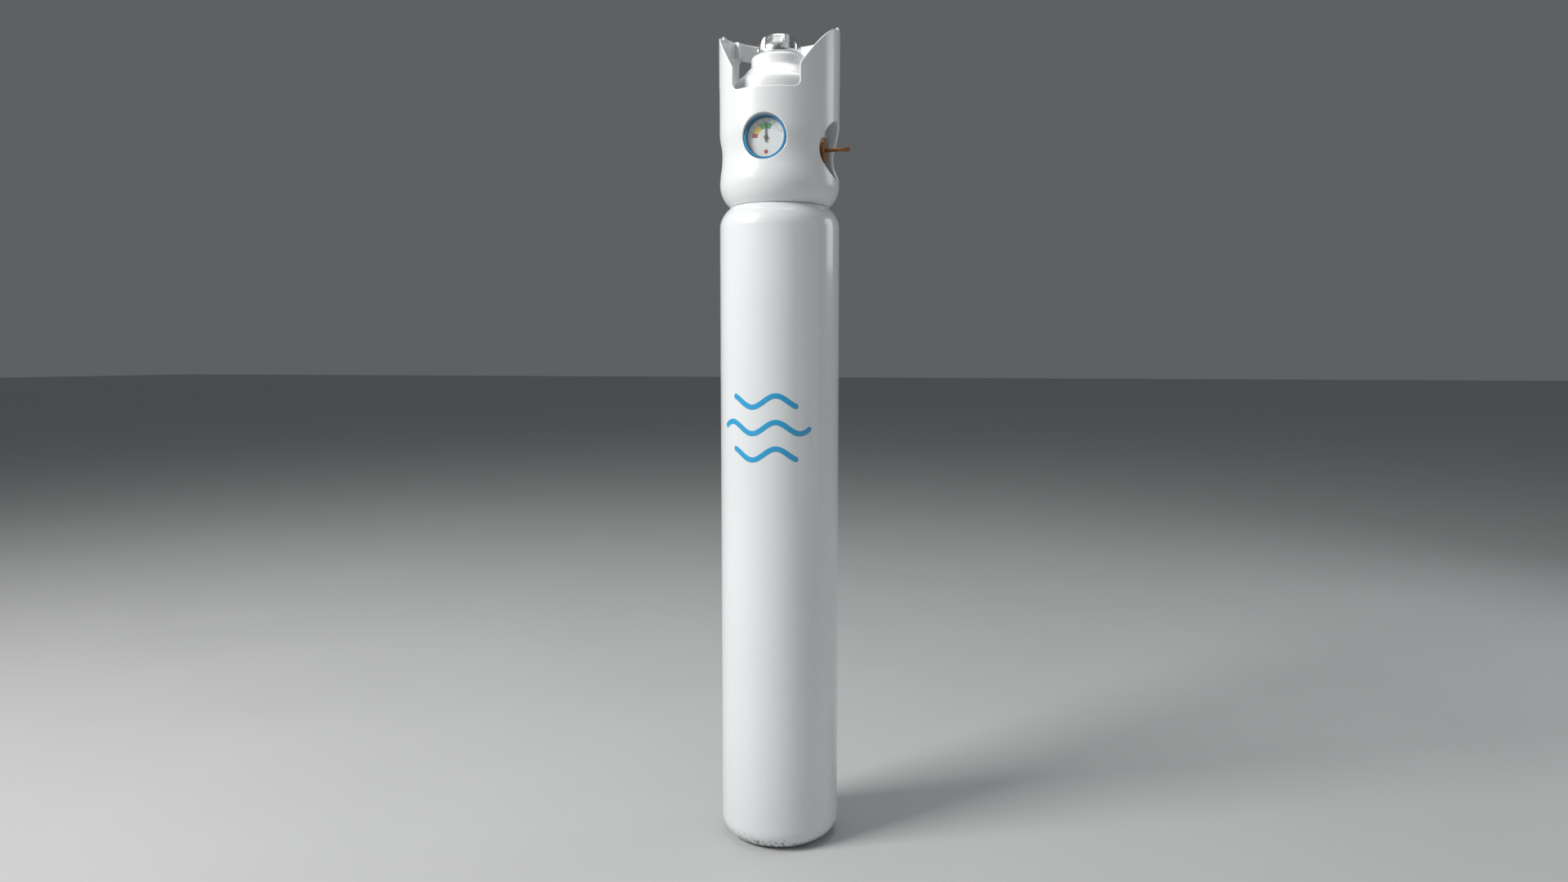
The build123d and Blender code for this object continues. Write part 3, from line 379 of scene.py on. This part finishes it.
@dataclass(frozen=True)
class MouldedPlastic(Finish):
    """Moulded plastic: a fine grain, faint flow marks and hairline scratches.

    Args:
        grain: the grain's size in metres.
        depth: the grain's depth in metres.
        shade: the colour in the flow marks and worn places.
        coat: the weight of the gloss over it.
    """

    grain: float = 0.0009
    depth: float = 0.000012
    shade: Colour = (0.62, 0.65, 0.67)
    coat: float = 0.35

    def make(self) -> bpy.types.Material:
        """Builds the material: noise grain, a broad drift, and long thin scratches."""
        graph = Graph(self.name)
        drift = graph.noise(0.06, 3.0)
        grain = graph.noise(self.grain, 1.5)
        upright = graph.noise(0.0016, 3.0, (1.0, 1.0, 30.0)).ramp(0.66, 0.74)
        level = graph.noise(0.0016, 3.0, (26.0, 26.0, 1.0)).ramp(0.67, 0.75)
        scratches = upright.highest(level)
        tint = graph.mix(drift.ramp(0.42, 0.78) * 0.14 + scratches * 0.07, self.colour, self.shade)
        return graph.finish(
            graph.surface(
                {
                    "Base Color": tint,
                    "Roughness": self.rough + drift * 0.10 + scratches * 0.16,
                    "Normal": graph.bump(grain - scratches * 0.5, self.depth, 0.6),
                    "Coat Weight": (self.coat - scratches * 0.3).clamped(),
                    "Coat Roughness": 0.12,
                }
            )
        )


@dataclass(frozen=True)
class PlatedMetal(Finish):
    """Polished plate over a casting, with faint buffing lines and finger marks.

    Args:
        tarnish: the colour in the duller patches.
    """

    tarnish: Colour = (0.50, 0.49, 0.47)

    def make(self) -> bpy.types.Material:
        """Builds the material: smudges raise the roughness and dull the colour."""
        graph = Graph(self.name)
        smudge = graph.noise(0.007, 4.0).ramp(0.45, 0.75)
        lines = graph.noise(0.0008, 2.0, (1.0, 1.0, 14.0))
        pits = graph.cells(0.0022).ramp(0.10, 0.03)
        tint = graph.mix(smudge * 0.35 + pits * 0.5, self.colour, self.tarnish)
        return graph.finish(
            graph.surface(
                {
                    "Base Color": tint,
                    "Metallic": 1.0,
                    "Roughness": self.rough + smudge * 0.14 + lines * 0.05,
                    "Normal": graph.bump(lines - pits * 0.6, 0.000008, 0.5),
                }
            )
        )


@dataclass(frozen=True)
class TurnedMetal(Finish):
    """Metal turned on a lathe: fine rings across the axis and a patchy patina.

    Args:
        patina: the colour of the patina.
        axis: the axis that the rings are strung along.
        cover: how much of the surface the patina covers.
        pitch: the distance from ring to ring, in metres.
    """

    patina: Colour = (0.2, 0.15, 0.1)
    axis: str = "Z"
    cover: float = 0.4
    pitch: float = 0.00045

    def make(self) -> bpy.types.Material:
        """Builds the material: rings are the sine of the place along the axis."""
        graph = Graph(self.name)
        along = graph.axis(self.axis)
        rings = (along * (2 * math.pi / self.pitch)).sine() * 0.5 + 0.5
        patches = graph.noise(0.006, 5.0).ramp(0.62 - 0.3 * self.cover, 0.80)
        specks = graph.noise(0.0012, 3.0).ramp(0.62, 0.78)
        tint = graph.mix(
            (patches * 0.7 + specks * 0.4) * self.cover * 2.0, self.colour, self.patina
        )
        return graph.finish(
            graph.surface(
                {
                    "Base Color": tint,
                    "Metallic": (1.0 - patches * 0.25).clamped(),
                    "Roughness": self.rough + patches * 0.25 + rings * 0.04,
                    "Normal": graph.bump(rings * 0.5 + specks * 0.4, 0.000012, 0.6),
                }
            )
        )


@dataclass(frozen=True)
class Elastomer(Finish):
    """Rubber or a sealing plastic: matt, with a bloom of dust."""

    def make(self) -> bpy.types.Material:
        """Builds the material: a pale bloom where a fine noise is high."""
        graph = Graph(self.name)
        bloom = graph.noise(0.004, 5.0).ramp(0.45, 0.8)
        grain = graph.noise(0.0004, 2.0)
        paler = tuple(min(1.0, c * 1.2 + 0.05) for c in self.colour)
        return graph.finish(
            graph.surface(
                {
                    "Base Color": graph.mix(bloom * 0.6, self.colour, paler),
                    "Roughness": self.rough + bloom * 0.15,
                    "Normal": graph.bump(grain, 0.00002, 0.6),
                }
            )
        )


@dataclass(frozen=True)
class PrintedInk(Finish):
    """Ink or enamel laid on a surface: slightly uneven, with tiny pinholes."""

    def make(self) -> bpy.types.Material:
        """Builds the material: a fine mottle in colour, roughness and relief."""
        graph = Graph(self.name)
        mottle = graph.noise(0.0025, 4.0)
        holes = graph.noise(0.0006, 2.0).ramp(0.70, 0.76)
        paler = tuple(min(1.0, c + 0.10) for c in self.colour)
        return graph.finish(
            graph.surface(
                {
                    "Base Color": graph.mix(mottle.ramp(0.4, 0.8) * 0.3, self.colour, paler),
                    "Roughness": self.rough + mottle * 0.12,
                    "Normal": graph.bump(mottle - holes * 0.5, 0.00001, 0.5),
                    "Coat Weight": (0.3 - holes * 0.3).clamped(),
                    "Coat Roughness": 0.15,
                }
            )
        )


@dataclass(frozen=True)
class ClearLens(Finish):
    """A clear window, with a few wipe marks that catch the light.

    Args:
        face_shine: how much it shines seen face on.
        edge_shine: how much more it shines at a glancing view.
        index: its refractive index.
    """

    face_shine: float = 0.05
    edge_shine: float = 0.6
    index: float = 1.5

    def make(self) -> bpy.types.Material:
        """Builds the material: see-through, with a shine that grows towards a glancing view."""
        graph = Graph(self.name)
        marks = graph.noise(0.0035, 4.0, (5.0, 1.0, 1.0)).ramp(0.55, 0.85)
        glancing = graph.value("ShaderNodeLayerWeight", None, {"Blend": 0.5}, "Facing")
        shine = glancing**5 * self.edge_shine + self.face_shine
        clear = graph.node("ShaderNodeBsdfTransparent", None, {"Color": self.colour})
        gloss = graph.surface(
            {"Base Color": self.colour, "Roughness": self.rough + marks * 0.10, "IOR": self.index}
        )
        inputs = {
            0: (shine + marks * 0.02).clamped(),
            1: clear.outputs[0],
            2: gloss.outputs[0],
        }
        return graph.finish(graph.node("ShaderNodeMixShader", None, inputs))


class Slot(Enum):
    """The record's finishes, each with the look that it gets here."""

    SHELL_PAINT = CylinderPaint("shell_paint", (0.80, 0.825, 0.84), 0.20)
    GUARD_PLASTIC = MouldedPlastic("guard_plastic", (0.80, 0.82, 0.83), 0.26)
    COVER_PLASTIC = MouldedPlastic("cover_plastic", (0.86, 0.875, 0.88), 0.20, coat=0.6)
    WHEEL_CHROME = PlatedMetal("wheel_chrome", (0.70, 0.71, 0.72), 0.24)
    BRASS = TurnedMetal("brass", (0.78, 0.56, 0.26), 0.22, (0.36, 0.22, 0.10), "Z", 0.3)
    DARK_BRASS = TurnedMetal("dark_brass", (0.36, 0.19, 0.09), 0.34, (0.13, 0.07, 0.04), "X", 0.6)
    STEEL = TurnedMetal("steel", (0.56, 0.56, 0.57), 0.28, (0.30, 0.28, 0.27), "Z", 0.2)
    ZINC = TurnedMetal("zinc", (0.66, 0.67, 0.69), 0.30, (0.45, 0.45, 0.46), "Z", 0.3)
    SPRING_STEEL = TurnedMetal("spring_steel", (0.32, 0.31, 0.31), 0.32, (0.14, 0.12, 0.11), "Z")
    BRONZE = TurnedMetal("bronze", (0.58, 0.36, 0.20), 0.36, (0.26, 0.15, 0.09), "Z", 0.4)
    SEAL_RUBBER = Elastomer("seal_rubber", (0.025, 0.025, 0.027), 0.60)
    SEAT_PLASTIC = Elastomer("seat_plastic", (0.72, 0.68, 0.56), 0.45)
    GAUGE_BLUE = MouldedPlastic("gauge_blue", (0.045, 0.27, 0.52), 0.24, shade=(0.1, 0.4, 0.62))
    DIAL_FACE = PrintedInk("dial_face", (0.80, 0.80, 0.78), 0.50)
    POINTER_BLACK = PrintedInk("pointer_black", (0.02, 0.02, 0.022), 0.45)
    LENS = ClearLens("lens", (0.97, 0.985, 0.99), 0.02)
    CAP_PLASTIC = Elastomer("cap_plastic", (0.05, 0.05, 0.055), 0.50)
    DIAL_RED = PrintedInk("dial_red", (0.42, 0.02, 0.02), 0.45)
    DIAL_YELLOW = PrintedInk("dial_yellow", (0.80, 0.60, 0.03), 0.45)
    DIAL_GREEN = PrintedInk("dial_green", (0.03, 0.38, 0.10), 0.45)
    DIAL_GREY = PrintedInk("dial_grey", (0.13, 0.12, 0.13), 0.45)
    DIAL_ROSE = PrintedInk("dial_rose", (0.62, 0.36, 0.42), 0.45)
    SIGN_BLUE = PrintedInk("sign_blue", (0.03, 0.36, 0.66), 0.30)


class Palette:
    """Builds each finish once and puts it on pieces."""

    def __init__(self) -> None:
        """Starts with no material made."""
        self.made: dict[Slot, bpy.types.Material] = {}

    def material(self, slot: Slot) -> bpy.types.Material:
        """The finish's material, made on first use.

        Args:
            slot: the finish.

        Returns:
            Its material.
        """
        if slot not in self.made:
            self.made[slot] = slot.value.make()
        return self.made[slot]

    def paint(self, piece: bpy.types.Object, slot: Slot) -> None:
        """Gives a piece one finish all over.

        Args:
            piece: the object.
            slot: the finish.
        """
        piece.data.materials.clear()
        piece.data.materials.append(self.material(slot))


# --- Surfaces -----------------------------------------------------------------------------------


def capped_grid(name: str, points: np.ndarray) -> bpy.types.Object:
    """Makes a closed mesh from a grid of rings.

    Row i is a closed ring of points, each ring is joined to the next, and one face fills each
    end ring.

    Args:
        name: the object's name.
        points: an array of rings by points by 3, in metres.

    Returns:
        The object, at the origin, linked to the scene.
    """
    rings, around = points.shape[:2]
    index = np.arange(rings * around).reshape(rings, around)
    start, after = index[:-1], index[1:]
    quads = np.stack(
        [start, np.roll(start, -1, axis=1), np.roll(after, -1, axis=1), after], axis=-1
    ).reshape(-1, 4)
    faces = quads.tolist() + [index[0][::-1].tolist(), index[-1].tolist()]
    mesh = bpy.data.meshes.new(name)
    mesh.from_pydata(points.reshape(-1, 3), [], faces)
    work = bmesh.new()
    work.from_mesh(mesh)
    bmesh.ops.recalc_face_normals(work, faces=work.faces)
    work.to_mesh(mesh)
    work.free()
    mesh.polygons.foreach_set("use_smooth", np.ones(len(mesh.polygons), bool))
    piece = bpy.data.objects.new(name, mesh)
    bpy.context.scene.collection.objects.link(piece)
    return piece


SECTION_POINTS = 12
INK_SINK = 0.05
LEAST_SHARE = 4e-4


def ribbon(
    name: str,
    line: np.ndarray,
    lift: np.ndarray,
    half_width: float,
    thickness: float,
    rounded: bool,
) -> bpy.types.Object:
    """Makes a thin closed strip along a line, as ink or film lies on a surface.

    At each station the section is an ellipse, half_width across and thickness tall, whose lower
    half is pressed flat and sunk by INK_SINK of the thickness. Across is the cross product of the
    line's direction and the lift. With rounded ends, the width near an end falls as a half circle
    does, and its square stays over LEAST_SHARE of the full width's.

    Args:
        name: the object's name.
        line: the stations, N by 3, in metres.
        lift: the surface's outward normal at each station, N by 3.
        half_width: half the strip's width.
        thickness: how far the strip stands proud.
        rounded: whether the ends are half circles.

    Returns:
        The strip.
    """
    ahead = np.gradient(line, axis=0)
    ahead /= np.linalg.norm(ahead, axis=1, keepdims=True)
    across = np.cross(ahead, lift)
    across /= np.linalg.norm(across, axis=1, keepdims=True)
    travelled = np.r_[0.0, np.cumsum(np.linalg.norm(np.diff(line, axis=0), axis=1))]
    to_end = np.minimum(travelled, travelled[-1] - travelled)
    inside = np.clip(to_end / half_width, 0.0, 1.0) if rounded else np.ones(len(line))
    width = half_width * np.sqrt(np.clip(1.0 - (1.0 - inside) ** 2, LEAST_SHARE, 1.0))
    turn = np.linspace(0.0, 2 * np.pi, SECTION_POINTS, endpoint=False)
    rise = np.sqrt(np.clip(np.sin(turn), 0.0, 1.0)) - INK_SINK
    side = np.cos(turn)[None, :, None] * width[:, None, None] * across[:, None, :]
    up = rise[None, :, None] * thickness * lift[:, None, :]
    return capped_grid(name, line[:, None, :] + side + up)


# --- Pieces -------------------------------------------------------------------------------------


@dataclass
class SubAssembly(ABC):
    """A group of pieces that are built and dressed together.

    Args:
        palette: the finishes.
    """

    palette: Palette

    @abstractmethod
    def build(self) -> list[bpy.types.Object]:
        """Builds the pieces and returns them."""

    def place(self, piece: bpy.types.Object, body: str, look: Slot, slot: str) -> bpy.types.Object:
        """Puts a piece on a CAD body and dresses it.

        Args:
            piece: the object.
            body: the CAD body that it rides on.
            look: its finish here.
            slot: the record's slot; not used.

        Returns:
            The piece.
        """
        self.palette.paint(piece, look)
        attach(piece, body)
        return piece


@dataclass
class CarriedParts(SubAssembly):
    """The CAD nodes that show as they are, each with the finish of its slot."""

    def build(self) -> list[bpy.types.Object]:
        """Gives every CAD node the finish of the record's slot that it uses."""
        looks = {look.value.name: look for look in Slot}
        dressed = []
        for node in frame["nodes"].values():
            slot = node.data.materials[0].name.split(".")[0]
            for number in range(len(node.data.materials)):
                node.data.materials[number] = self.palette.material(looks[slot])
            dressed.append(node)
        return dressed


@dataclass
class Springs(SubAssembly):
    """The coil springs, copies of their CAD nodes put on the frame, with the nodes hidden.

    Args:
        springs: each spring's name, its joint, its axis and where its fixed end is on it.
    """

    springs: tuple[tuple[str, str, int, float], ...] = (
        ("regulator_spring", "piston_travel", 0, 32.1 * MM),
        ("filling_spring", "filling_poppet_travel", 0, -24.1 * MM),
        ("relief_spring", "relief_poppet_travel", 1, 41.9 * MM),
    )

    def build(self) -> list[bpy.types.Object]:
        """Builds the springs."""
        return [self.coil(*spring) for spring in self.springs]

    def coil(self, node: str, joint: str, axis: int, fixed: float) -> bpy.types.Object:
        """One spring, a copy of its CAD node put on the frame; its length and its joint's travel
        are worked out but not used.

        Args:
            node: the CAD node that the spring stands for.
            joint: the joint that presses it.
            axis: the number of the axis that it lies on.
            fixed: the fixed end's place on that axis.

        Returns:
            The spring.
        """
        source = frame["nodes"][node]
        mesh = source.data.copy()
        mesh.transform(source.matrix_world)
        piece = bpy.data.objects.new(node.replace("spring", "coil"), mesh)
        bpy.context.scene.collection.objects.link(piece)
        points = np.array([vertex.co for vertex in mesh.vertices])
        length = float(np.abs(points[:, axis] - fixed).max())
        travel = next(max(map(abs, j["range_m"])) for j in frame["joints"] if j["name"] == joint)
        self.place(piece, "frame", Slot.SPRING_STEEL, "spring_steel")
        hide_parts(node)
        1 - travel / length
        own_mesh(piece)
        return piece


@dataclass
class FlowSign(SubAssembly):
    """Three wavy strokes for flowing gas, screen-printed on the front of the bottle.

    Args:
        radius: the bottle's outer radius.
        heights: the strokes' heights.
        lengths: the strokes' lengths round the bottle.
        wave: the height of a crest over the stroke's middle line.
        wave_length: the distance from crest to crest.
        half_width: half a stroke's width.
        film: the ink's thickness.
        stations: the number of sections in a stroke.
    """

    radius: float = 70.0 * MM
    heights: tuple[float, ...] = (526.0 * MM, 496.0 * MM, 466.0 * MM)
    lengths: tuple[float, ...] = (80.0 * MM, 112.0 * MM, 80.0 * MM)
    wave: float = 6.5 * MM
    wave_length: float = 56.0 * MM
    half_width: float = 3.1 * MM
    film: float = 0.06 * MM
    stations: int = 160

    def build(self) -> list[bpy.types.Object]:
        """Builds the strokes and puts them on the bottle."""
        strokes = []
        for number, (height, length) in enumerate(zip(self.heights, self.lengths)):
            stroke = self.stroke(f"flow_sign_{number + 1}", height, length)
            strokes.append(self.place(stroke, "frame", Slot.SIGN_BLUE, "gauge_blue"))
        return strokes

    def stroke(self, name: str, height: float, length: float) -> bpy.types.Object:
        """One stroke.

        A point a distance s round the bottle from the front stands at the angle s over the
        radius, and at the stroke's height plus the wave times the sine of one turn a wavelength.

        Args:
            name: the piece's name.
            height: the middle line's height.
            length: how far it goes round the bottle.

        Returns:
            The stroke.
        """
        s = np.linspace(-length / 2, length / 2, self.stations)
        angle = s / self.radius
        out = np.stack([np.sin(angle), -np.cos(angle), np.zeros_like(s)], axis=-1)
        rise = height + self.wave * np.sin(2 * np.pi * s / self.wave_length)
        line = out * self.radius + np.stack([0 * s, 0 * s, rise], axis=-1)
        return ribbon(name, line, out, self.half_width, self.film, rounded=True)


@dataclass
class DialPrint(SubAssembly):
    """The print on the gauge's dial: the coloured bands, the scale, its numbers and a dot.

    Args:
        plate: how far the dial's face is from the bottle's axis, towards the front.
        height: the height of the dial's centre.
        film: the ink's thickness.
        band: the inner and outer radius of the coloured bands.
        scale: the radius of the thin scale line.
        labels: the radius of the numbers' centres.
        size: the numbers' height.
        zero: the angle of no pressure, in degrees from +X.
        degrees_per_bar: how far the pointer turns for a bar.
        dot_drop: how far the dot is under the centre.
        dot_radius: the dot's radius.
        full: the highest pressure on the scale, in bar.
        step: the pressure from tick to tick, in bar.
        numbered: the pressures that have a number, in bar.
        low_arc: the ends of the faint line under the scale, counted on in bar.
        tick: the length of a tick.
        halves: half the width of the scale line, the faint line and a tick.
        arc_stations: the number of sections in an arc.
        tick_stations: the number of sections in a tick.
        dot_points: the number of points round the dot.
    """

    plate: float = 57.6 * MM
    height: float = 820.4 * MM
    film: float = 0.03 * MM
    band: tuple[float, float] = (9.8 * MM, 16.2 * MM)
    scale: float = 16.6 * MM
    labels: float = 18.9 * MM
    size: float = 2.3 * MM
    zero: float = 180.0
    degrees_per_bar: float = 0.4
    dot_drop: float = 15.5 * MM
    dot_radius: float = 2.5 * MM
    full: int = 400
    step: int = 50
    numbered: tuple[int, ...] = (50, 100, 150, 200, 250, 300, 400)
    low_arc: tuple[float, float] = (-125.0, -4.0)
    tick: float = 1.3 * MM
    halves: tuple[float, float, float] = (0.10 * MM, 0.13 * MM, 0.16 * MM)
    arc_stations: int = 61
    tick_stations: int = 5
    dot_points: int = 48

    def build(self) -> list[bpy.types.Object]:
        """Builds the print and puts it on the dial."""
        bands = {
            "band_red": (0.0, 50.0, Slot.DIAL_RED),
            "band_yellow": (50.0, 150.0, Slot.DIAL_YELLOW),
            "band_green": (150.0, 295.0, Slot.DIAL_GREEN),
        }
        middle, half = sum(self.band) / 2, (self.band[1] - self.band[0]) / 2
        made = [
            self.place(self.arc(name, middle, low, high, half), "frame", look, "dial_face")
            for name, (low, high, look) in bands.items()
        ]
        line_half, low_half, tick_half = self.halves
        line = self.arc("scale_line", self.scale, 0.0, float(self.full), line_half)
        made.append(self.place(line, "frame", Slot.DIAL_GREY, "dial_face"))
        low_line = self.arc("low_line", self.scale, *self.low_arc, low_half)
        made.append(self.place(low_line, "frame", Slot.DIAL_ROSE, "dial_face"))
        for bar in range(0, self.full + 1, self.step):
            tick = self.spoke(f"tick_{bar}", bar, self.scale - self.tick, self.scale, tick_half)
            made.append(self.place(tick, "frame", Slot.DIAL_GREY, "dial_face"))
        for bar in self.numbered:
            made.append(self.place(self.number(bar), "frame", Slot.DIAL_GREY, "dial_face"))
        made.append(self.place(self.dot(), "frame", Slot.DIAL_RED, "dial_face"))
        return made

    def angle(self, bar: float | np.ndarray) -> float | np.ndarray:
        """The angle on the dial of a pressure.

        Args:
            bar: the pressure, or an array of pressures.

        Returns:
            The zero angle less degrees_per_bar for each bar, in radians from +X.
        """
        return np.radians(self.zero - self.degrees_per_bar * bar)

    def on_face(self, radius: float | np.ndarray, angle: float | np.ndarray) -> np.ndarray:
        """Points on the dial's face.

        Args:
            radius: their distance from the dial's centre.
            angle: their angle, in radians from +X.

        Returns:
            The points, N by 3.
        """
        across, up = radius * np.cos(angle), radius * np.sin(angle)
        return np.stack([across, np.full_like(across, -self.plate), self.height + up], axis=-1)

    def strip(self, name: str, line: np.ndarray, half: float) -> bpy.types.Object:
        """A strip of ink along a line on the dial.

        Args:
            name: the piece's name.
            line: the points, N by 3.
            half: half the strip's width.

        Returns:
            The strip.
        """
        lift = np.tile((0.0, -1.0, 0.0), (len(line), 1))
        return ribbon(name, line, lift, half, self.film, rounded=False)

    def arc(
        self, name: str, radius: float, low: float, high: float, half: float
    ) -> bpy.types.Object:
        """An arc of ink between two pressures.

        Args:
            name: the piece's name.
            radius: its middle radius.
            low: the pressure where it starts.
            high: the pressure where it ends.
            half: half its width.

        Returns:
            The arc.
        """
        count = self.arc_stations
        angle = self.angle(np.linspace(low, high, count))
        return self.strip(name, self.on_face(np.full(count, radius), angle), half)

    def spoke(
        self, name: str, bar: float, inner: float, outer: float, half: float
    ) -> bpy.types.Object:
        """A tick across the scale.

        Args:
            name: the piece's name.
            bar: its pressure.
            inner: where it starts, from the dial's centre.
            outer: where it ends.
            half: half its width.

        Returns:
            The tick.
        """
        count = self.tick_stations
        radius = np.linspace(inner, outer, count)
        return self.strip(name, self.on_face(radius, np.full(count, self.angle(bar))), half)

    def number(self, bar: int) -> bpy.types.Object:
        """A number of the scale, upright along its own radius.

        Args:
            bar: the pressure.

        Returns:
            The number as a mesh.
        """
        text = bpy.data.curves.new(f"scale_{bar}", "FONT")
        text.body, text.size, text.extrude = str(bar), self.size, self.film / 2
        text.align_x, text.align_y = "CENTER", "CENTER"
        source = bpy.data.objects.new("lettering", text)
        bpy.context.scene.collection.objects.link(source)
        bpy.context.view_layer.update()
        mesh = bpy.data.meshes.new_from_object(source)
        bpy.data.objects.remove(source)
        angle = self.angle(float(bar))
        centre = self.on_face(np.array([self.labels]), np.array([angle]))[0]
        upright = Matrix.Rotation(math.pi / 2, 4, "X")
        lean = Matrix.Rotation(math.pi / 2 - float(angle), 4, "Y")
        mesh.transform(Matrix.Translation(Vector(centre)) @ lean @ upright)
        piece = bpy.data.objects.new(f"scale_{bar}", mesh)
        bpy.context.scene.collection.objects.link(piece)
        return piece

    def dot(self) -> bpy.types.Object:
        """The dot under the centre: rings that rise to its face and close in on its middle.

        Each row of the profile is a ring's radius as a share of dot_radius, and its height as a
        share of the film.

        Returns:
            The dot.
        """
        turn = np.linspace(0.0, 2 * np.pi, self.dot_points, endpoint=False)
        profile = np.array([(1.0, -0.05), (1.0, 0.6), (0.97, 1.0), (0.5, 1.0), (0.02, 1.0)])
        radius = profile[:, 0, None] * self.dot_radius
        across, up = radius * np.cos(turn), radius * np.sin(turn)
        front = -self.plate - self.film * np.broadcast_to(profile[:, 1, None], across.shape)
        points = np.stack([across, front, self.height - self.dot_drop + up], axis=-1)
        return capped_grid("scale_dot", points)


# --- The studio ---------------------------------------------------------------------------------


@dataclass(frozen=True)
class Lamp:
    """A soft square light.

    Args:
        name: its name.
        place: where it stands.
        size: its side.
        power: its power in watts.
        colour: its colour.
    """

    name: str
    place: Triple
    size: float
    power: float
    colour: Colour


@dataclass
class Studio:
    """A pale floor, soft lights and an even surround.

    Args:
        aim: the point that the lights face.
        floor_size: the floor's width.
        surround: the brightness of the surround.
        tint: the surround's colour.
        lamps: the lights.
    """

    aim: Vector
    floor_size: float = 60.0
    surround: float = 0.12
    tint: Colour = (0.93, 0.97, 1.0)
    lamps: tuple[Lamp, ...] = (
        Lamp("key", (-1.87, -1.59, 2.2), 1.2, 96.0, (1.0, 0.99, 0.97)),
        Lamp("fill", (2.8, -0.9, 0.9), 2.4, 10.0, (0.92, 0.96, 1.0)),
        Lamp("top", (0.0, 0.2, 3.0), 1.6, 22.0, (1.0, 1.0, 1.0)),
        Lamp("rim", (1.9, 1.4, 1.3), 0.9, 6.0, (0.96, 0.98, 1.0)),
    )

    def build(self) -> None:
        """Builds the floor, the surround and the lights."""
        self.floor()
        self.sky()
        for lamp in self.lamps:
            self.light(lamp)
        settings = bpy.context.scene.view_settings
        settings.view_transform, settings.look = "Standard", "None"

    def floor(self) -> None:
        """A level floor of one face, with a faintly mottled pale coat."""
        half = self.floor_size / 2
        corners = [(-half, -half, 0.0), (half, -half, 0.0), (half, half, 0.0), (-half, half, 0.0)]
        mesh = bpy.data.meshes.new("floor")
        mesh.from_pydata(corners, [], [(0, 1, 2, 3)])
        floor = bpy.data.objects.new("floor", mesh)
        bpy.context.scene.collection.objects.link(floor)
        graph = Graph("floor_coat")
        mottle = graph.noise(0.35, 3.0)
        floor.data.materials.append(
            graph.finish(
                graph.surface(
                    {
                        "Base Color": graph.mix(mottle, (0.51, 0.515, 0.52), (0.55, 0.555, 0.56)),
                        "Roughness": 0.55 + mottle * 0.1,
                    }
                )
            )
        )

    def sky(self) -> None:
        """An even grey surround."""
        world = bpy.data.worlds.new("surround")
        world.use_nodes = True
        back = world.node_tree.nodes["Background"]
        back.inputs["Color"].default_value = (*self.tint, 1.0)
        back.inputs["Strength"].default_value = self.surround
        bpy.context.scene.world = world

    def light(self, lamp: Lamp) -> None:
        """Makes a light that faces the aim.

        Args:
            lamp: the light to make.
        """
        data = bpy.data.lights.new(lamp.name, "AREA")
        data.size, data.energy, data.color = lamp.size, lamp.power, lamp.colour
        holder = bpy.data.objects.new(lamp.name, data)
        holder.location = lamp.place
        facing = self.aim - Vector(lamp.place)
        holder.rotation_euler = facing.to_track_quat("-Z", "Y").to_euler()
        bpy.context.scene.collection.objects.link(holder)


@dataclass
class Camera:
    """The camera.

    Args:
        place: where it stands.
        aim: the point in the middle of its view.
        lens: its focal length in millimetres.
        sensor: its sensor's width in millimetres.
        clip: the nearest and farthest distance that it sees.
    """

    place: Vector
    aim: Vector
    lens: float = 24.444
    sensor: float = 36.0
    clip: tuple[float, float] = (0.01, 100.0)

    def build(self) -> None:
        """Builds the camera and makes it the scene's."""
        data = bpy.data.cameras.new("camera")
        data.sensor_width, data.lens = self.sensor, self.lens
        data.clip_start, data.clip_end = self.clip
        camera = bpy.data.objects.new("camera", data)
        camera.location = self.place
        camera.rotation_euler = (self.aim - self.place).to_track_quat("-Z", "Y").to_euler()
        bpy.context.scene.collection.objects.link(camera)
        bpy.context.scene.camera = camera


def main() -> None:
    """Builds the object, the studio and the camera."""
    logging.basicConfig(level=logging.INFO, format="%(message)s")
    palette = Palette()
    groups: list[Callable[[Palette], SubAssembly]] = [CarriedParts, Springs, FlowSign, DialPrint]
    for group in groups:
        for piece in group(palette).build():
            LOG.info("%s: %s, %d faces", group.__name__, piece.name, len(piece.data.polygons))
    Studio(CAMERA_AIM).build()
    Camera(CAMERA_PLACE, CAMERA_AIM).build()


if __name__ == "__main__":
    main()
